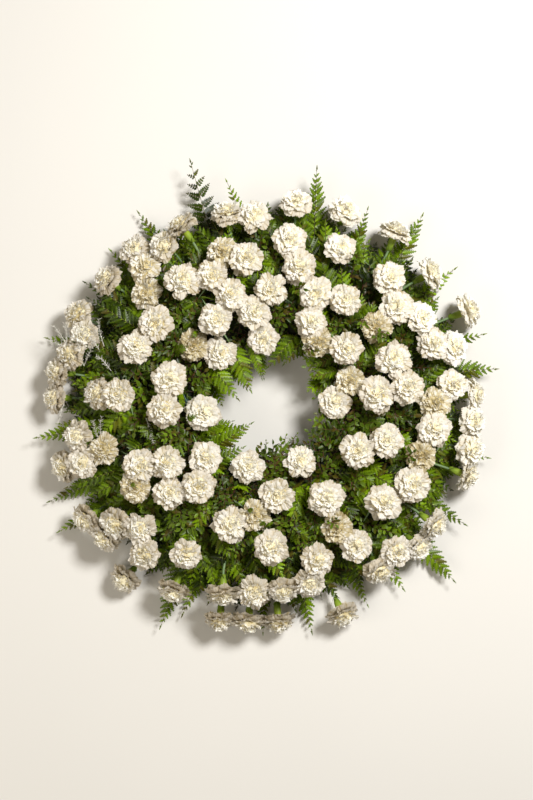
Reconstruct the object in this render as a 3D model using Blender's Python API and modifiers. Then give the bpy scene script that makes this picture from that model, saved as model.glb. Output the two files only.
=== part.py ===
"""Funeral wreath of white carnations, fern and small-leaved sprigs in a foam ring, lying on its back.

Metres, +Z up out of the wreath's face and +Y towards the wreath's top. The origin is on the surface that
the wreath lies on, under the middle of its box.
"""

from math import atan2, cos, hypot, pi, radians, sin, sqrt

import bmesh
import bpy
import numpy as np

MM = 0.001
SEED = 11

# The photograph looks straight down on the face. Places in it are pixels from its top left corner.
PHOTO_MIDDLE_X, PHOTO_MIDDLE_Y = 266.5, 400.0
PHOTO_PIXEL = 1.8 * MM  # at the height of the flowers' faces
FACES_HEIGHT = 120 * MM
VIEW_DISTANCE = 3.0
VIEW_AXIS_Y = -2 * MM  # where the line of sight meets the ground, along Y
RING_X, RING_Y = 0.0, -13 * MM

# The flowers' faces make a crown: its highest radius, its height there, and how far it has dropped at
# a given distance inside and outside that radius.
CROWN_RADIUS, CROWN_HEIGHT = 215 * MM, 132 * MM
CROWN_DROP_IN, CROWN_RUN_IN = 35 * MM, 95 * MM
CROWN_DROP_OUT, CROWN_RUN_OUT = 72 * MM, 165 * MM

# The plastic tray and the foam ring that stands in it.
RING_STEPS = 32
TRAY_INNER, TRAY_OUTER, TRAY_HEIGHT = 142 * MM, 248 * MM, 18 * MM
TRAY_WALL, TRAY_FLOOR = 2.5 * MM, 3 * MM
GAP = 0.3 * MM  # between pieces that touch
FOAM_TOP = 58 * MM
FOAM_LEAN = 6 * MM  # each wall of the foam leans in by this much

# The greens: one group for each of sixteen equal parts of the ring.
SECTORS = 16
MARGIN_RADIUS = 190 * MM  # where margins to a group's sides are measured
MOSS_THICK = 11 * MM
MOSS_FOOT = TRAY_HEIGHT + 1 * MM
STEM_RADIUS = 2.2 * MM
CALYX_TOP, CALYX_FOOT, CALYX_LENGTH = 7.5 * MM, 4 * MM, 22 * MM
HOLE_DEPTH = 22 * MM
BED_MIDDLE, BED_HALF = 195 * MM, 36 * MM  # the radius of the bed's middle, and half its flat top's width
BED_EDGE = 14 * MM  # roots on top of the bed keep this far from the tray's walls
RIM_ROOT, RIM_ROOT_OUT, RIM_ROOT_HEIGHT = 30 * MM, 2 * MM, 40 * MM  # past the bed, roots go into its side
HOLE_ROOT, HOLE_ROOT_IN, HOLE_ROOT_HEIGHT = 15 * MM, 2 * MM, 44 * MM
STEM_MARGIN, FROND_MARGIN, SPRIG_MARGIN, STRAY_MARGIN = 9 * MM, 6 * MM, 8 * MM, 5 * MM
STEM_SWINGS = (0, 3, -3, 6, -6, 9, -9)  # degrees about the ring
STEM_SHIFTS = (0, -15, 15, -30, 30, -50, 50)  # mm, in or out
STEMS_MEET = 25 * MM  # the height in the foam that stems point towards
LONG_STEM = 95 * MM  # stems that start higher get a bend
PEGS_IN_SECTOR = 3
PEG_SPACING = 16 * MM
BLADE_THICK = 0.8 * MM
STALK_HALF = 1.5 * MM

# A carnation's head, in head radii: how far out from its axis and how far up it each row of points is.
HEAD_BACK = -0.42
HEAD_SKIRT_OUT, HEAD_SKIRT_IN = (1.0, 0.04), (0.84, -0.06)
HEAD_NOTCH, HEAD_TIER, HEAD_TUFT, HEAD_TOP = (0.66, 0.20), (0.80, 0.38), (0.42, 0.60), 0.55
HEAD_JITTER = 0.05
SCRAP_POINTS = 12  # a loose shell with more corners than this is a piece that failed to join

# How far heads of one bunch press into each other, and how far all others stay apart.
PRESS_LEAST, PRESS_MOST = 12 * MM, 18 * MM
HEADS_APART = 1.2 * MM
BUNCH_REACH, PUSH_REACH = 90 * MM, 130 * MM  # heads further apart never meet
LEAST_HEIGHT = 4 * MM  # of a head's lowest point over the ground
HOME_PULL = 0.04
MOST_IN_BUNCH, MOST_BUNCHES = 6, 42
SETTLE_ROUNDS = 500
SETTLE_SHARES = (0.3, 0.3, 0.9)  # heads give way more in height than across the photograph

# Each bloom: photo x, photo y, size across in px, tilt from facing up in degrees, the way that it leans in
# degrees from +X towards +Y, and how far it is sunk below the wreath's crown in mm.
BLOOMS = (
    (132, 245, 33, 40, 135, 0), (106, 279, 34, 55, 145, 0), (143, 269, 33, 15, 110, 18),
    (165, 244, 34, 35, 150, 4), (182, 225, 36, 78, 127, 6), (180, 281, 37, 5, 120, 0),
    (146, 298, 34, 15, 150, 22), (223, 211, 35, 60, 100, 0), (258, 217, 35, 25, 95, 0),
    (297, 202, 34, 42, 85, 0), (220, 252, 33, 15, 110, 22), (248, 258, 37, 6, 90, 0),
    (210, 272, 34, 5, 110, 0), (289, 237, 36, 12, 90, 0), (297, 264, 36, 0, 90, 0),
    (340, 248, 33, 12, 75, 0), (346, 210, 36, 48, 65, 0), (234, 295, 34, 0, 0, 4),
    (272, 288, 34, 0, 0, 2), (319, 293, 37, 3, 60, 0), (396, 232, 36, 78, 68, 0),
    (388, 271, 36, 12, 50, 0), (431, 273, 36, 74, 27, 0), (468, 311, 37, 82, 20, 0),
    (78, 313, 33, 35, 150, 8), (90, 330, 33, 15, 160, 0), (69, 356, 33, 40, 175, 6),
    (52, 371, 35, 62, 172, 0), (51, 402, 32, 60, 180, 0), (134, 349, 36, 0, 0, 0),
    (157, 321, 37, 3, 150, 0), (92, 393, 34, 42, 178, 0), (123, 396, 34, 8, 180, 4),
    (169, 378, 37, 0, 0, 0), (164, 411, 36, 0, 0, 0), (190, 344, 33, 0, 0, 26),
    (214, 321, 36, 0, 0, 0), (254, 315, 35, 0, 0, 0), (223, 355, 35, 6, 320, 0),
    (263, 339, 34, 6, 280, 0), (309, 326, 33, 4, 250, 0), (317, 345, 32, 10, 240, 24),
    (346, 349, 35, 5, 220, 0), (334, 403, 34, 10, 180, 0), (350, 380, 32, 5, 200, 22),
    (203, 413, 37, 8, 0, 0), (348, 300, 34, 0, 0, 0), (394, 308, 36, 4, 40, 0),
    (428, 314, 34, 30, 25, 0), (430, 348, 34, 5, 20, 0), (461, 348, 37, 50, 10, 0),
    (392, 356, 37, 0, 0, 0), (372, 331, 33, 0, 0, 26), (375, 395, 38, 0, 0, 0),
    (411, 391, 35, 0, 0, 0), (453, 385, 33, 18, 5, 0), (479, 385, 34, 80, 5, 0),
    (435, 400, 33, 8, 0, 26), (471, 419, 34, 45, 355, 0), (76, 436, 34, 30, 185, 0),
    (108, 446, 33, 10, 200, 24), (56, 467, 35, 52, 195, 0), (84, 467, 33, 12, 200, 0),
    (137, 465, 35, 0, 0, 0), (168, 459, 36, 0, 0, 0), (136, 488, 33, 5, 210, 24),
    (164, 499, 35, 0, 0, 0), (80, 518, 34, 55, 215, 0), (113, 520, 36, 40, 215, 0),
    (144, 525, 34, 10, 225, 0), (206, 456, 35, 6, 40, 0), (203, 488, 36, 0, 0, 0),
    (248, 467, 36, 6, 80, 0), (300, 461, 34, 8, 110, 0), (277, 496, 38, 0, 0, 0),
    (326, 498, 37, 0, 0, 0), (229, 526, 37, 0, 0, 0), (255, 515, 33, 0, 0, 26),
    (336, 527, 32, 0, 0, 24), (353, 452, 37, 6, 150, 0), (392, 440, 36, 0, 0, 0),
    (437, 429, 37, 6, 350, 0), (418, 455, 33, 0, 0, 26), (468, 451, 35, 38, 350, 0),
    (470, 485, 35, 80, 340, 0), (415, 487, 39, 4, 330, 0), (381, 505, 39, 3, 310, 0),
    (436, 519, 36, 70, 324, 0), (105, 544, 35, 60, 220, 0), (145, 559, 34, 22, 235, 0),
    (124, 580, 34, 55, 230, 0), (173, 591, 36, 70, 249, 0), (186, 555, 33, 12, 250, 2),
    (217, 595, 36, 72, 270, 0), (213, 617, 34, 72, 265, 0), (246, 621, 37, 76, 268, 0),
    (256, 593, 36, 18, 268, 0), (283, 593, 34, 50, 272, 0), (288, 626, 36, 76, 275, 0),
    (271, 548, 37, 3, 270, 0), (319, 557, 34, 6, 280, 0), (312, 586, 34, 32, 280, 0),
    (343, 615, 36, 66, 295, 0), (357, 547, 34, 6, 300, 0), (398, 547, 34, 18, 310, 0),
    (419, 553, 34, 58, 315, 0), (378, 577, 35, 52, 295, 0),
)

# Each frond: photo x and y of its tip, then of the place where it comes clear of the moss, its
# half width in px and the height of its tip in mm. Tips round the rim first, then those over the hole.
FRONDS = (
    (190, 160, 206, 232, 22, 60), (226, 180, 236, 236, 13, 96), (317, 167, 330, 236, 17, 60),
    (368, 208, 364, 262, 12, 60), (423, 214, 404, 262, 18, 40), (456, 268, 420, 300, 14, 20),
    (497, 369, 440, 362, 18, 40), (485, 334, 440, 340, 14, 66), (489, 458, 440, 452, 15, 30),
    (466, 525, 425, 500, 15, 40), (455, 582, 420, 530, 20, 30), (404, 590, 382, 550, 16, 30),
    (368, 606, 352, 572, 12, 16), (312, 633, 300, 590, 15, 20), (263, 634, 262, 590, 12, 14),
    (182, 616, 196, 580, 14, 20), (160, 628, 172, 566, 18, 24), (58, 532, 100, 512, 16, 30),
    (48, 502, 92, 486, 14, 14), (35, 438, 90, 426, 16, 40), (46, 338, 92, 346, 16, 20),
    (110, 250, 136, 282, 15, 14), (138, 212, 166, 250, 15, 20),
    (222, 405, 214, 372, 14, 92), (247, 390, 232, 362, 10, 88), (264, 379, 258, 352, 9, 84),
    (308, 391, 332, 374, 12, 88), (241, 426, 208, 436, 12, 84), (290, 440, 300, 470, 12, 88),
)
FROND_PAIRS = 6
HOLE_FROND_PAIRS = 4
FROND_HEIGHTS = (8, 14, 22, 32, 44, 56, 70, 84, 98, 112)  # mm, tried in turn at the middle of a frond
FROND_SWINGS = (0, 10, -10, 20, -20, 30, -30)  # mm, tried in turn to either side of its straight line
BLADE_CLEAR = 2.5 * MM
STAND_OFF = 4 * MM  # the half width kept free about a stem or another blade

# Small-leaved sprigs that stand in the gaps between the heads.
SPRIGS_IN_SECTOR = 2
SPRIG_PAIRS = 3
SPRIG_WIDTHS = (21, 15)  # mm, half the width, the widest that fits is used
SPRIG_LENGTH, SPRIG_RISE, SPRIG_SPACING = 52 * MM, 36 * MM, 34 * MM


def clear_scene():
    for obj in list(bpy.data.objects):
        bpy.data.objects.remove(obj, do_unlink=True)


def new_material(name, color, roughness):
    material = bpy.data.materials.new(name)
    material.use_nodes = True
    shader = material.node_tree.nodes["Principled BSDF"]
    shader.inputs["Base Color"].default_value = (*color, 1)
    shader.inputs["Roughness"].default_value = roughness
    shader.inputs["Metallic"].default_value = 0
    material.diffuse_color = (*color, 1)
    return material


def new_collection(name, cutters=False):
    collection = bpy.data.collections.new(name)
    collection.hide_render = cutters
    bpy.context.scene.collection.children.link(collection)
    return collection


def new_object(name, points, faces, collection, material=None):
    """An object of one closed mesh, its faces turned outwards."""
    mesh = bpy.data.meshes.new(name)
    mesh.from_pydata([tuple(p) for p in points], [], faces)
    shape = bmesh.new()
    shape.from_mesh(mesh)
    bmesh.ops.recalc_face_normals(shape, faces=shape.faces)
    shape.to_mesh(mesh)
    shape.free()
    obj = bpy.data.objects.new(name, mesh)
    collection.objects.link(obj)
    if material:
        mesh.materials.append(material)
    return obj


def unit(vector):
    return np.asarray(vector, float) / np.linalg.norm(vector)


def photo_point(x, y, z):
    """The point at height z that the photograph shows at pixel x, y."""
    pixel = PHOTO_PIXEL * (VIEW_DISTANCE - z) / (VIEW_DISTANCE - FACES_HEIGHT)
    return np.array([(x - PHOTO_MIDDLE_X) * pixel, VIEW_AXIS_Y - (y - PHOTO_MIDDLE_Y) * pixel, z])


def ring_angle(point):
    return atan2(point[1] - RING_Y, point[0] - RING_X) % (2 * pi)


def ring_radius(point):
    return hypot(point[0] - RING_X, point[1] - RING_Y)


def ring_point(angle, radius, z):
    return np.array([RING_X + radius * cos(angle), RING_Y + radius * sin(angle), z])


def crown_height(radius):
    """The height of the wreath's crown at this distance from the middle of the ring."""
    if radius < CROWN_RADIUS:
        return CROWN_HEIGHT - CROWN_DROP_IN * ((CROWN_RADIUS - radius) / CROWN_RUN_IN) ** 2
    return CROWN_HEIGHT - CROWN_DROP_OUT * ((radius - CROWN_RADIUS) / CROWN_RUN_OUT) ** 2


def even_directions(count):
    """Unit vectors spread evenly over a sphere."""
    k = np.arange(count)
    up = 1 - (2 * k + 1) / count
    turn = k * pi * (3 - sqrt(5))
    out = np.sqrt(1 - up**2)
    return np.stack([out * np.cos(turn), out * np.sin(turn), up], axis=1)


DIRECTIONS = even_directions(96)


def reach(axes, out, up, directions):
    """How far a turned hull reaches along each direction: out and up give its outline's corners."""
    along = axes @ directions.T
    across = np.sqrt(np.maximum(0, 1 - along**2))
    corners = out[:, None, :] * across[:, :, None] + up[:, None, :] * along[:, :, None]
    return corners.max(axis=2)


class Blooms:
    """The places, axes and sizes of all the carnation heads, pressed together as in the wreath."""

    def __init__(self):
        rows = np.array(BLOOMS, float)
        tilt, heading = np.radians(rows[:, 3]), np.radians(rows[:, 4])
        self.axes = np.stack(
            [np.sin(tilt) * np.cos(heading), np.sin(tilt) * np.sin(heading), np.cos(tilt)], axis=1
        )
        self.radii = rows[:, 2] * PHOTO_PIXEL / 2
        self.centres = np.array([self.first_place(*row[[0, 1, 5]]) for row in rows])
        self.home = self.centres.copy()
        radii = self.radii[:, None]
        self.head_out = radii * np.array([[1.0, HEAD_TIER[0], HEAD_TUFT[0], 0]]) * (1 + HEAD_JITTER)
        self.head_up = radii * np.array([[HEAD_SKIRT_OUT[1], HEAD_TIER[1], HEAD_TUFT[1], HEAD_BACK]])
        self.head_up[:, :3] += HEAD_JITTER * radii
        self.calyx_out = np.tile([CALYX_TOP, CALYX_FOOT], (len(rows), 1))
        self.calyx_up = HEAD_BACK * radii - np.array([[0, CALYX_LENGTH]])
        self.head_ahead = reach(self.axes, self.head_out, self.head_up, DIRECTIONS)
        self.head_behind = reach(self.axes, self.head_out, self.head_up, -DIRECTIONS)
        self.calyx_ahead = reach(self.axes, self.calyx_out, self.calyx_up, DIRECTIONS)
        self.calyx_behind = reach(self.axes, self.calyx_out, self.calyx_up, -DIRECTIONS)
        self.lowest = reach(self.axes, self.head_out, self.head_up, np.array([[0, 0, -1.0]]))[:, 0]
        self.bunch, self.touching = self.gather()
        self.settle()

    def first_place(self, x, y, drop):
        radius = ring_radius(photo_point(x, y, FACES_HEIGHT))
        return photo_point(x, y, crown_height(radius) - drop * MM)

    def near_pairs(self, within):
        apart = np.linalg.norm(self.centres[:, None] - self.centres[None], axis=2)
        return np.nonzero((apart < within) & (apart > 0))

    def apart(self, first, second, ahead, behind):
        """The widest gap between two hulls over all directions, negative where they overlap, and its direction."""
        gaps = (self.centres[second] - self.centres[first]) @ DIRECTIONS.T - ahead[first] - behind[second]
        best = gaps.argmax(axis=1)
        return gaps[np.arange(len(best)), best], DIRECTIONS[best]

    def gather(self):
        """Bunches of the heads that press most on each other."""
        first, second = self.near_pairs(BUNCH_REACH)
        ordered = first < second
        first, second = first[ordered], second[ordered]
        gaps, _ = self.apart(first, second, self.head_ahead, self.head_behind)
        calyx_a, _ = self.apart(first, second, self.calyx_ahead, self.head_behind)
        calyx_b, _ = self.apart(second, first, self.calyx_ahead, self.head_behind)
        bunch = list(range(len(self.radii)))
        touching = []
        for k in np.argsort(gaps - 2 * np.minimum(0, np.minimum(calyx_a, calyx_b))):
            a, b = bunch[first[k]], bunch[second[k]]
            if a == b or bunch.count(a) + bunch.count(b) > MOST_IN_BUNCH:
                continue
            bunch = [a if g == b else g for g in bunch]
            touching.append((first[k], second[k]))
            if len(set(bunch)) <= MOST_BUNCHES:
                break
        return np.array(bunch), touching

    def settle(self):
        """Presses bunched heads together and moves all others clear, each near its place in the photograph."""
        first, second = self.near_pairs(PUSH_REACH)
        one_way = first < second
        head_a, head_b = first[one_way], second[one_way]
        same = self.bunch[head_a] == self.bunch[head_b]
        joined = np.array([(a, b) in set(self.touching) for a, b in zip(head_a, head_b)])
        for step in range(SETTLE_ROUNDS):
            move = np.zeros_like(self.centres)
            gap, way = self.apart(head_a, head_b, self.head_ahead, self.head_behind)
            push = np.where(same, np.maximum(0, -PRESS_MOST - gap), np.maximum(0, HEADS_APART - gap))
            push = np.where(joined & (gap > -PRESS_LEAST), -PRESS_LEAST - gap, push)
            self.add_moves(move, head_a, head_b, way, push)
            gap, way = self.apart(first, second, self.calyx_ahead, self.head_behind)
            self.add_moves(move, first, second, way, np.maximum(0, HEADS_APART - gap))
            gap, way = self.apart(head_a, head_b, self.calyx_ahead, self.calyx_behind)
            self.add_moves(move, head_a, head_b, way, np.maximum(0, HEADS_APART - gap))
            pull = HOME_PULL * max(0, 1 - 1.3 * step / SETTLE_ROUNDS)
            self.centres += move * SETTLE_SHARES + pull * (self.home - self.centres)
            self.centres[:, 2] = np.maximum(self.centres[:, 2], self.lowest + LEAST_HEIGHT)

    @staticmethod
    def add_moves(move, first, second, way, push):
        np.add.at(move, first, -way * push[:, None] / 2)
        np.add.at(move, second, way * push[:, None] / 2)

    def gap_at(self, points, leave_out=()):
        """How far each point is from the nearest head or calyx."""
        points = np.atleast_2d(points)
        kept = [k for k in range(len(self.radii)) if k not in leave_out]
        reached = points @ DIRECTIONS.T
        nearest = np.full(len(points), np.inf)
        for ahead in (self.head_ahead, self.calyx_ahead):
            base = self.centres[kept] @ DIRECTIONS.T + ahead[kept]
            gaps = (reached[:, None, :] - base[None]).max(axis=2)
            nearest = np.minimum(nearest, gaps.min(axis=1))
        return nearest


def frame_of(axis, turn=0.0):
    """Two unit vectors across an axis, turned about it."""
    helper = np.array([1.0, 0, 0]) if abs(axis[0]) < 0.8 else np.array([0, 1.0, 0])
    side = unit(np.cross(axis, helper))
    other = np.cross(axis, side)
    return cos(turn) * side + sin(turn) * other, cos(turn) * other - sin(turn) * side


def bridge(lower, upper):
    """Triangles between two closed rows of points, the upper with as many points or half as many."""
    count = len(upper)
    faces = []
    if len(lower) == count:
        for k in range(count):
            n = (k + 1) % count
            faces += [(lower[k], lower[n], upper[k]), (lower[n], upper[n], upper[k])]
        return faces
    for k in range(count):
        n = (k + 1) % count
        a, b, c = lower[2 * k], lower[2 * k + 1], lower[(2 * k + 2) % len(lower)]
        faces += [(a, b, upper[k]), (b, c, upper[k]), (c, upper[n], upper[k])]
    return faces


def head_shape(centre, axis, radius, rng):
    """A carnation's head: a scalloped skirt of petals, a smaller tier above it and a tuft in the middle."""
    points = []
    side, other = frame_of(axis, rng.uniform(0, 2 * pi))

    def row(count, sizes, phase):
        start = len(points)
        for k in range(count):
            out, up = sizes[k % len(sizes)]
            out *= 1 + rng.uniform(-HEAD_JITTER, HEAD_JITTER)
            up += rng.uniform(-HEAD_JITTER, HEAD_JITTER)
            turn = 2 * pi * (k + phase) / count
            points.append(centre + radius * (out * (cos(turn) * side + sin(turn) * other) + up * axis))
        return list(range(start, start + count))

    skirt = row(12, (HEAD_SKIRT_OUT, HEAD_SKIRT_IN), 0)
    notch = row(6, (HEAD_NOTCH,), 0.5)
    tier = row(6, (HEAD_TIER,), 0.5)
    tuft = row(3, (HEAD_TUFT,), 0.5)
    back, top = len(points), len(points) + 1
    points += [centre + radius * HEAD_BACK * axis, centre + radius * HEAD_TOP * axis]
    faces = [(back, skirt[k - 11], skirt[k]) for k in range(12)]
    faces += bridge(skirt, notch) + bridge(notch, tier) + bridge(tier, tuft)
    faces += [(tuft[k], tuft[(k + 1) % 3], top) for k in range(3)]
    return points, faces


def tube_shape(path, radii, sides, turn=0.0):
    """A closed tube along a path of points, with its own radius at each."""
    points, faces = [], []
    side = None
    for k, (place, radius) in enumerate(zip(path, radii)):
        along = unit(path[min(k + 1, len(path) - 1)] - path[max(k - 1, 0)])
        side = frame_of(along, turn)[0] if side is None else unit(side - along * (side @ along))
        other = np.cross(along, side)
        for n in range(sides):
            angle = 2 * pi * n / sides
            points.append(place + radius * (cos(angle) * side + sin(angle) * other))
    for k in range(len(path) - 1):
        for n in range(sides):
            a, b = k * sides + n, k * sides + (n + 1) % sides
            faces += [(a, b, b + sides), (a, b + sides, a + sides)]
    faces += [tuple(range(sides)), tuple(range((len(path) - 1) * sides, len(path) * sides))]
    return points, faces


def thick_sheet(points, normals, faces, thickness):
    """A closed sheet of even thickness, split into triangles alike on both faces."""
    count = len(points)
    half = 0.5 * thickness * np.asarray(normals)
    solid = list(np.asarray(points) + half) + list(np.asarray(points) - half)
    closed = [tuple(f) for f in faces] + [tuple(count + i for i in reversed(f)) for f in faces]
    edges = [(f[k], f[(k + 1) % 3]) for f in faces for k in range(3)]
    for a, b in edges:
        if (b, a) not in edges:
            closed += [(b, a, a + count), (b, a + count, b + count)]
    return solid, closed


def curve(points, t):
    """A point of the Bezier curve through four control points."""
    a, b, c, d = points
    s = 1 - t
    return s**3 * a + 3 * s * s * t * b + 3 * s * t * t * c + t**3 * d


class Blade:
    """A thin arched blade cut to its rib into pairs of leaflets: a frond or a sprig."""

    def __init__(self, control, half_width, pairs, bare, up=(0, 0, 1), droop=0.12, blunt=0.0):
        self.control, self.half_width, self.pairs = control, half_width, pairs
        self.bare, self.up, self.droop, self.blunt = bare, np.asarray(up, float), droop, blunt
        self.stalk = STALK_HALF

    def frame(self, t):
        ahead = curve(self.control, min(1, t + 0.02)) - curve(self.control, max(0, t - 0.02))
        along = unit(ahead)
        side = unit(np.cross(along, self.up))
        return curve(self.control, t), side, np.cross(side, along)

    def leaflet_tips(self):
        """For each pair, where its leaflets end: the way along the rib and out from it, left and right."""
        step = (1 - self.bare) / (self.pairs + 0.6)
        tips = []
        for k in range(self.pairs):
            share = k / self.pairs
            width = self.half_width * (1 - share**1.5) * (0.82 if k == 0 else 1)
            t = min(0.99, self.bare + (k + 0.85 - 0.2 * self.blunt) * step)
            place, side, normal = self.frame(t)
            lower = normal * (-self.droop * width)
            tips.append((place - side * width + lower, place + side * width + lower))
        return tips

    def leaflet_points(self):
        """The tips of the leaflets, and three rows of points along them."""
        step = (1 - self.bare) / (self.pairs + 0.6)
        tips = np.array(self.leaflet_tips()).reshape(-1, 3)
        roots = [self.frame(self.bare + (k + 0.5) * step)[0] for k in range(self.pairs)]
        roots = np.repeat(roots, 2, axis=0)
        return tips, [tips, roots + 0.7 * (tips - roots), roots + 0.4 * (tips - roots)]

    def samples(self):
        """Points all along the rib, for finding a clear way."""
        return np.array([curve(self.control, t) for t in np.linspace(0.12, 1, 20)])

    def shape(self, kept):
        """The closed sheet, with only the leaflets that are kept."""
        step = (1 - self.bare) / (self.pairs + 0.6)
        stations = [0.0] + [self.bare + k * step for k in range(self.pairs + 1)]
        points, normals, faces = [], [], []
        for k, t in enumerate(stations):
            place, side, normal = self.frame(t)
            half = self.stalk * (1 - 0.45 * t)
            points += [place - side * half, place + side * half]
            normals += [normal, normal]
            if k:
                a = 2 * (k - 1)
                faces += [(a, a + 1, a + 3), (a, a + 3, a + 2)]
        end, _, normal = self.frame(1.0)
        points.append(end)
        normals.append(normal)
        last = 2 * (len(stations) - 1)
        faces.append((last, last + 1, last + 2))
        for k, (pair, keep) in enumerate(zip(self.leaflet_tips(), kept)):
            a = 2 * (k + 1)
            for which, place in enumerate(pair):
                if not keep[which]:
                    continue
                root, following = a + which, a + 2 + which
                tip = len(points)
                points.append(place)
                normals.append(self.frame(stations[k + 1])[2])
                faces.append((root, following, tip) if which == 0 else (following, root, tip))
        return thick_sheet(points, normals, faces, BLADE_THICK)


def moss_outline():
    """The section of the thin bed of greens that wraps the foam: radius and height of each corner."""
    inner, outer = TRAY_INNER + TRAY_WALL + GAP, TRAY_OUTER - TRAY_WALL - GAP
    share = (MOSS_FOOT - TRAY_FLOOR) / (FOAM_TOP - TRAY_FLOOR)
    lean = FOAM_LEAN * share
    top = FOAM_TOP + GAP
    return [
        (inner + lean - GAP, MOSS_FOOT), (inner + FOAM_LEAN - GAP, top),
        (outer - FOAM_LEAN + GAP, top), (outer - lean + GAP, MOSS_FOOT),
        (outer - lean + GAP + MOSS_THICK, MOSS_FOOT), (outer - FOAM_LEAN + MOSS_THICK, top + MOSS_THICK),
        (inner + FOAM_LEAN - MOSS_THICK, top + MOSS_THICK), (inner + lean - GAP - MOSS_THICK, MOSS_FOOT),
    ]


def moss_shape(sector):
    """The bed of greens over one part of the ring, clear of its neighbours by the usual gap."""
    width = 2 * pi / SECTORS
    spare = GAP / 2 / TRAY_INNER
    outline = moss_outline()
    turns = [sector * width + spare, (sector + 0.5) * width, (sector + 1) * width - spare]
    points = [ring_point(turn, r, z) for turn in turns for r, z in outline]
    count = len(outline)
    faces = [tuple(range(count)), tuple(range(2 * count, 3 * count))]
    for k in range(2):
        for n in range(count):
            a, b = k * count + n, k * count + (n + 1) % count
            faces.append((a, b, b + count, a + count))
    return points, faces


def turned_ring(name, outline, collection, material):
    """A ring turned about the wreath's middle from its section, whose corners run down the outer side first."""
    mesh = bpy.data.meshes.new(name)
    count = len(outline)
    mesh.from_pydata([(r, 0, z) for r, z in outline], [(k, (k + 1) % count) for k in range(count)], [])
    mesh.materials.append(material)
    obj = bpy.data.objects.new(name, mesh)
    obj.location = (RING_X, RING_Y, 0)
    collection.objects.link(obj)
    turn = obj.modifiers.new("turned", "SCREW")
    turn.steps = turn.render_steps = RING_STEPS
    turn.use_merge_vertices = True
    turn.merge_threshold = 0.00005
    return obj


def baked(obj):
    """The same object with its modifiers applied."""
    graph = bpy.context.evaluated_depsgraph_get()
    mesh = bpy.data.meshes.new_from_object(obj.evaluated_get(graph))
    obj.modifiers.clear()
    obj.data = mesh
    return obj


def keep_largest_shell(obj):
    """Drops loose scraps and fills hollows that the fusing sealed."""
    shape = bmesh.new()
    shape.from_mesh(obj.data)
    shape.verts.ensure_lookup_table()
    seen, shells = set(), []
    for start in shape.verts:
        if start in seen:
            continue
        stack, shell = [start], []
        seen.add(start)
        while stack:
            vert = stack.pop()
            shell.append(vert)
            for edge in vert.link_edges:
                other = edge.other_vert(vert)
                if other not in seen:
                    seen.add(other)
                    stack.append(other)
        shells.append(shell)
    shells.sort(key=len)
    if len(shells) > 1 and len(shells[-2]) > SCRAP_POINTS:
        raise ValueError(f"{obj.name}: a piece of {len(shells[-2])} points isn't joined to the rest")
    for shell in shells[:-1]:
        bmesh.ops.delete(shape, geom=shell, context="VERTS")
    shape.to_mesh(obj.data)
    shape.free()


def fused(name, shapes, collection, material):
    """One object from shapes that overlap, joined by a Boolean union."""
    obj = new_object(name, *shapes[0], collection, material)
    if len(shapes) > 1:
        helpers = new_collection(name + "_pieces", cutters=True)
        for k, shape in enumerate(shapes[1:]):
            new_object(f"{name}_piece_{k}", *shape, helpers)
        union = obj.modifiers.new("union", "BOOLEAN")
        union.operation = "UNION"
        union.operand_type = "COLLECTION"
        union.solver = "EXACT"
        union.collection = helpers
        bpy.context.view_layer.update()
        baked(obj)
        for piece in list(helpers.objects):
            bpy.data.objects.remove(piece, do_unlink=True)
        bpy.data.collections.remove(helpers)
        obj.data.materials.clear()
        obj.data.materials.append(material)
    keep_largest_shell(obj)
    return obj


def sector_of(point):
    return int(ring_angle(point) / (2 * pi / SECTORS)) % SECTORS


def clamped_angle(angle, sector, margin):
    """The nearest angle that keeps a margin, in metres on the moss, to the sides of a sector."""
    width = 2 * pi / SECTORS
    spare = margin / MARGIN_RADIUS
    middle = (sector + 0.5) * width
    off = (angle - middle + pi) % (2 * pi) - pi
    limit = width / 2 - spare
    return middle + max(-limit, min(limit, off))


def strays(points, sector):
    """Whether any of these points lies outside its sector while it is still down at the moss."""
    low = points[points[:, 2] < FOAM_TOP + MOSS_THICK + STRAY_MARGIN]
    offs = [clamped_angle(ring_angle(p), sector, STRAY_MARGIN) - ring_angle(p) for p in low]
    return any(abs((off + pi) % (2 * pi) - pi) > 1e-9 for off in offs)


def moss_root(angle, radius):
    """A point just inside the moss, nearest to the radius that is wanted."""
    inner, outer = TRAY_INNER + BED_EDGE, TRAY_OUTER - BED_EDGE
    if radius > outer + RIM_ROOT:
        return ring_point(angle, TRAY_OUTER - RIM_ROOT_OUT, RIM_ROOT_HEIGHT)
    if radius < inner - HOLE_ROOT:
        return ring_point(angle, TRAY_INNER + HOLE_ROOT_IN, HOLE_ROOT_HEIGHT)
    return ring_point(angle, min(outer, max(inner, radius)), FOAM_TOP + 0.5 * MOSS_THICK)


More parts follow.
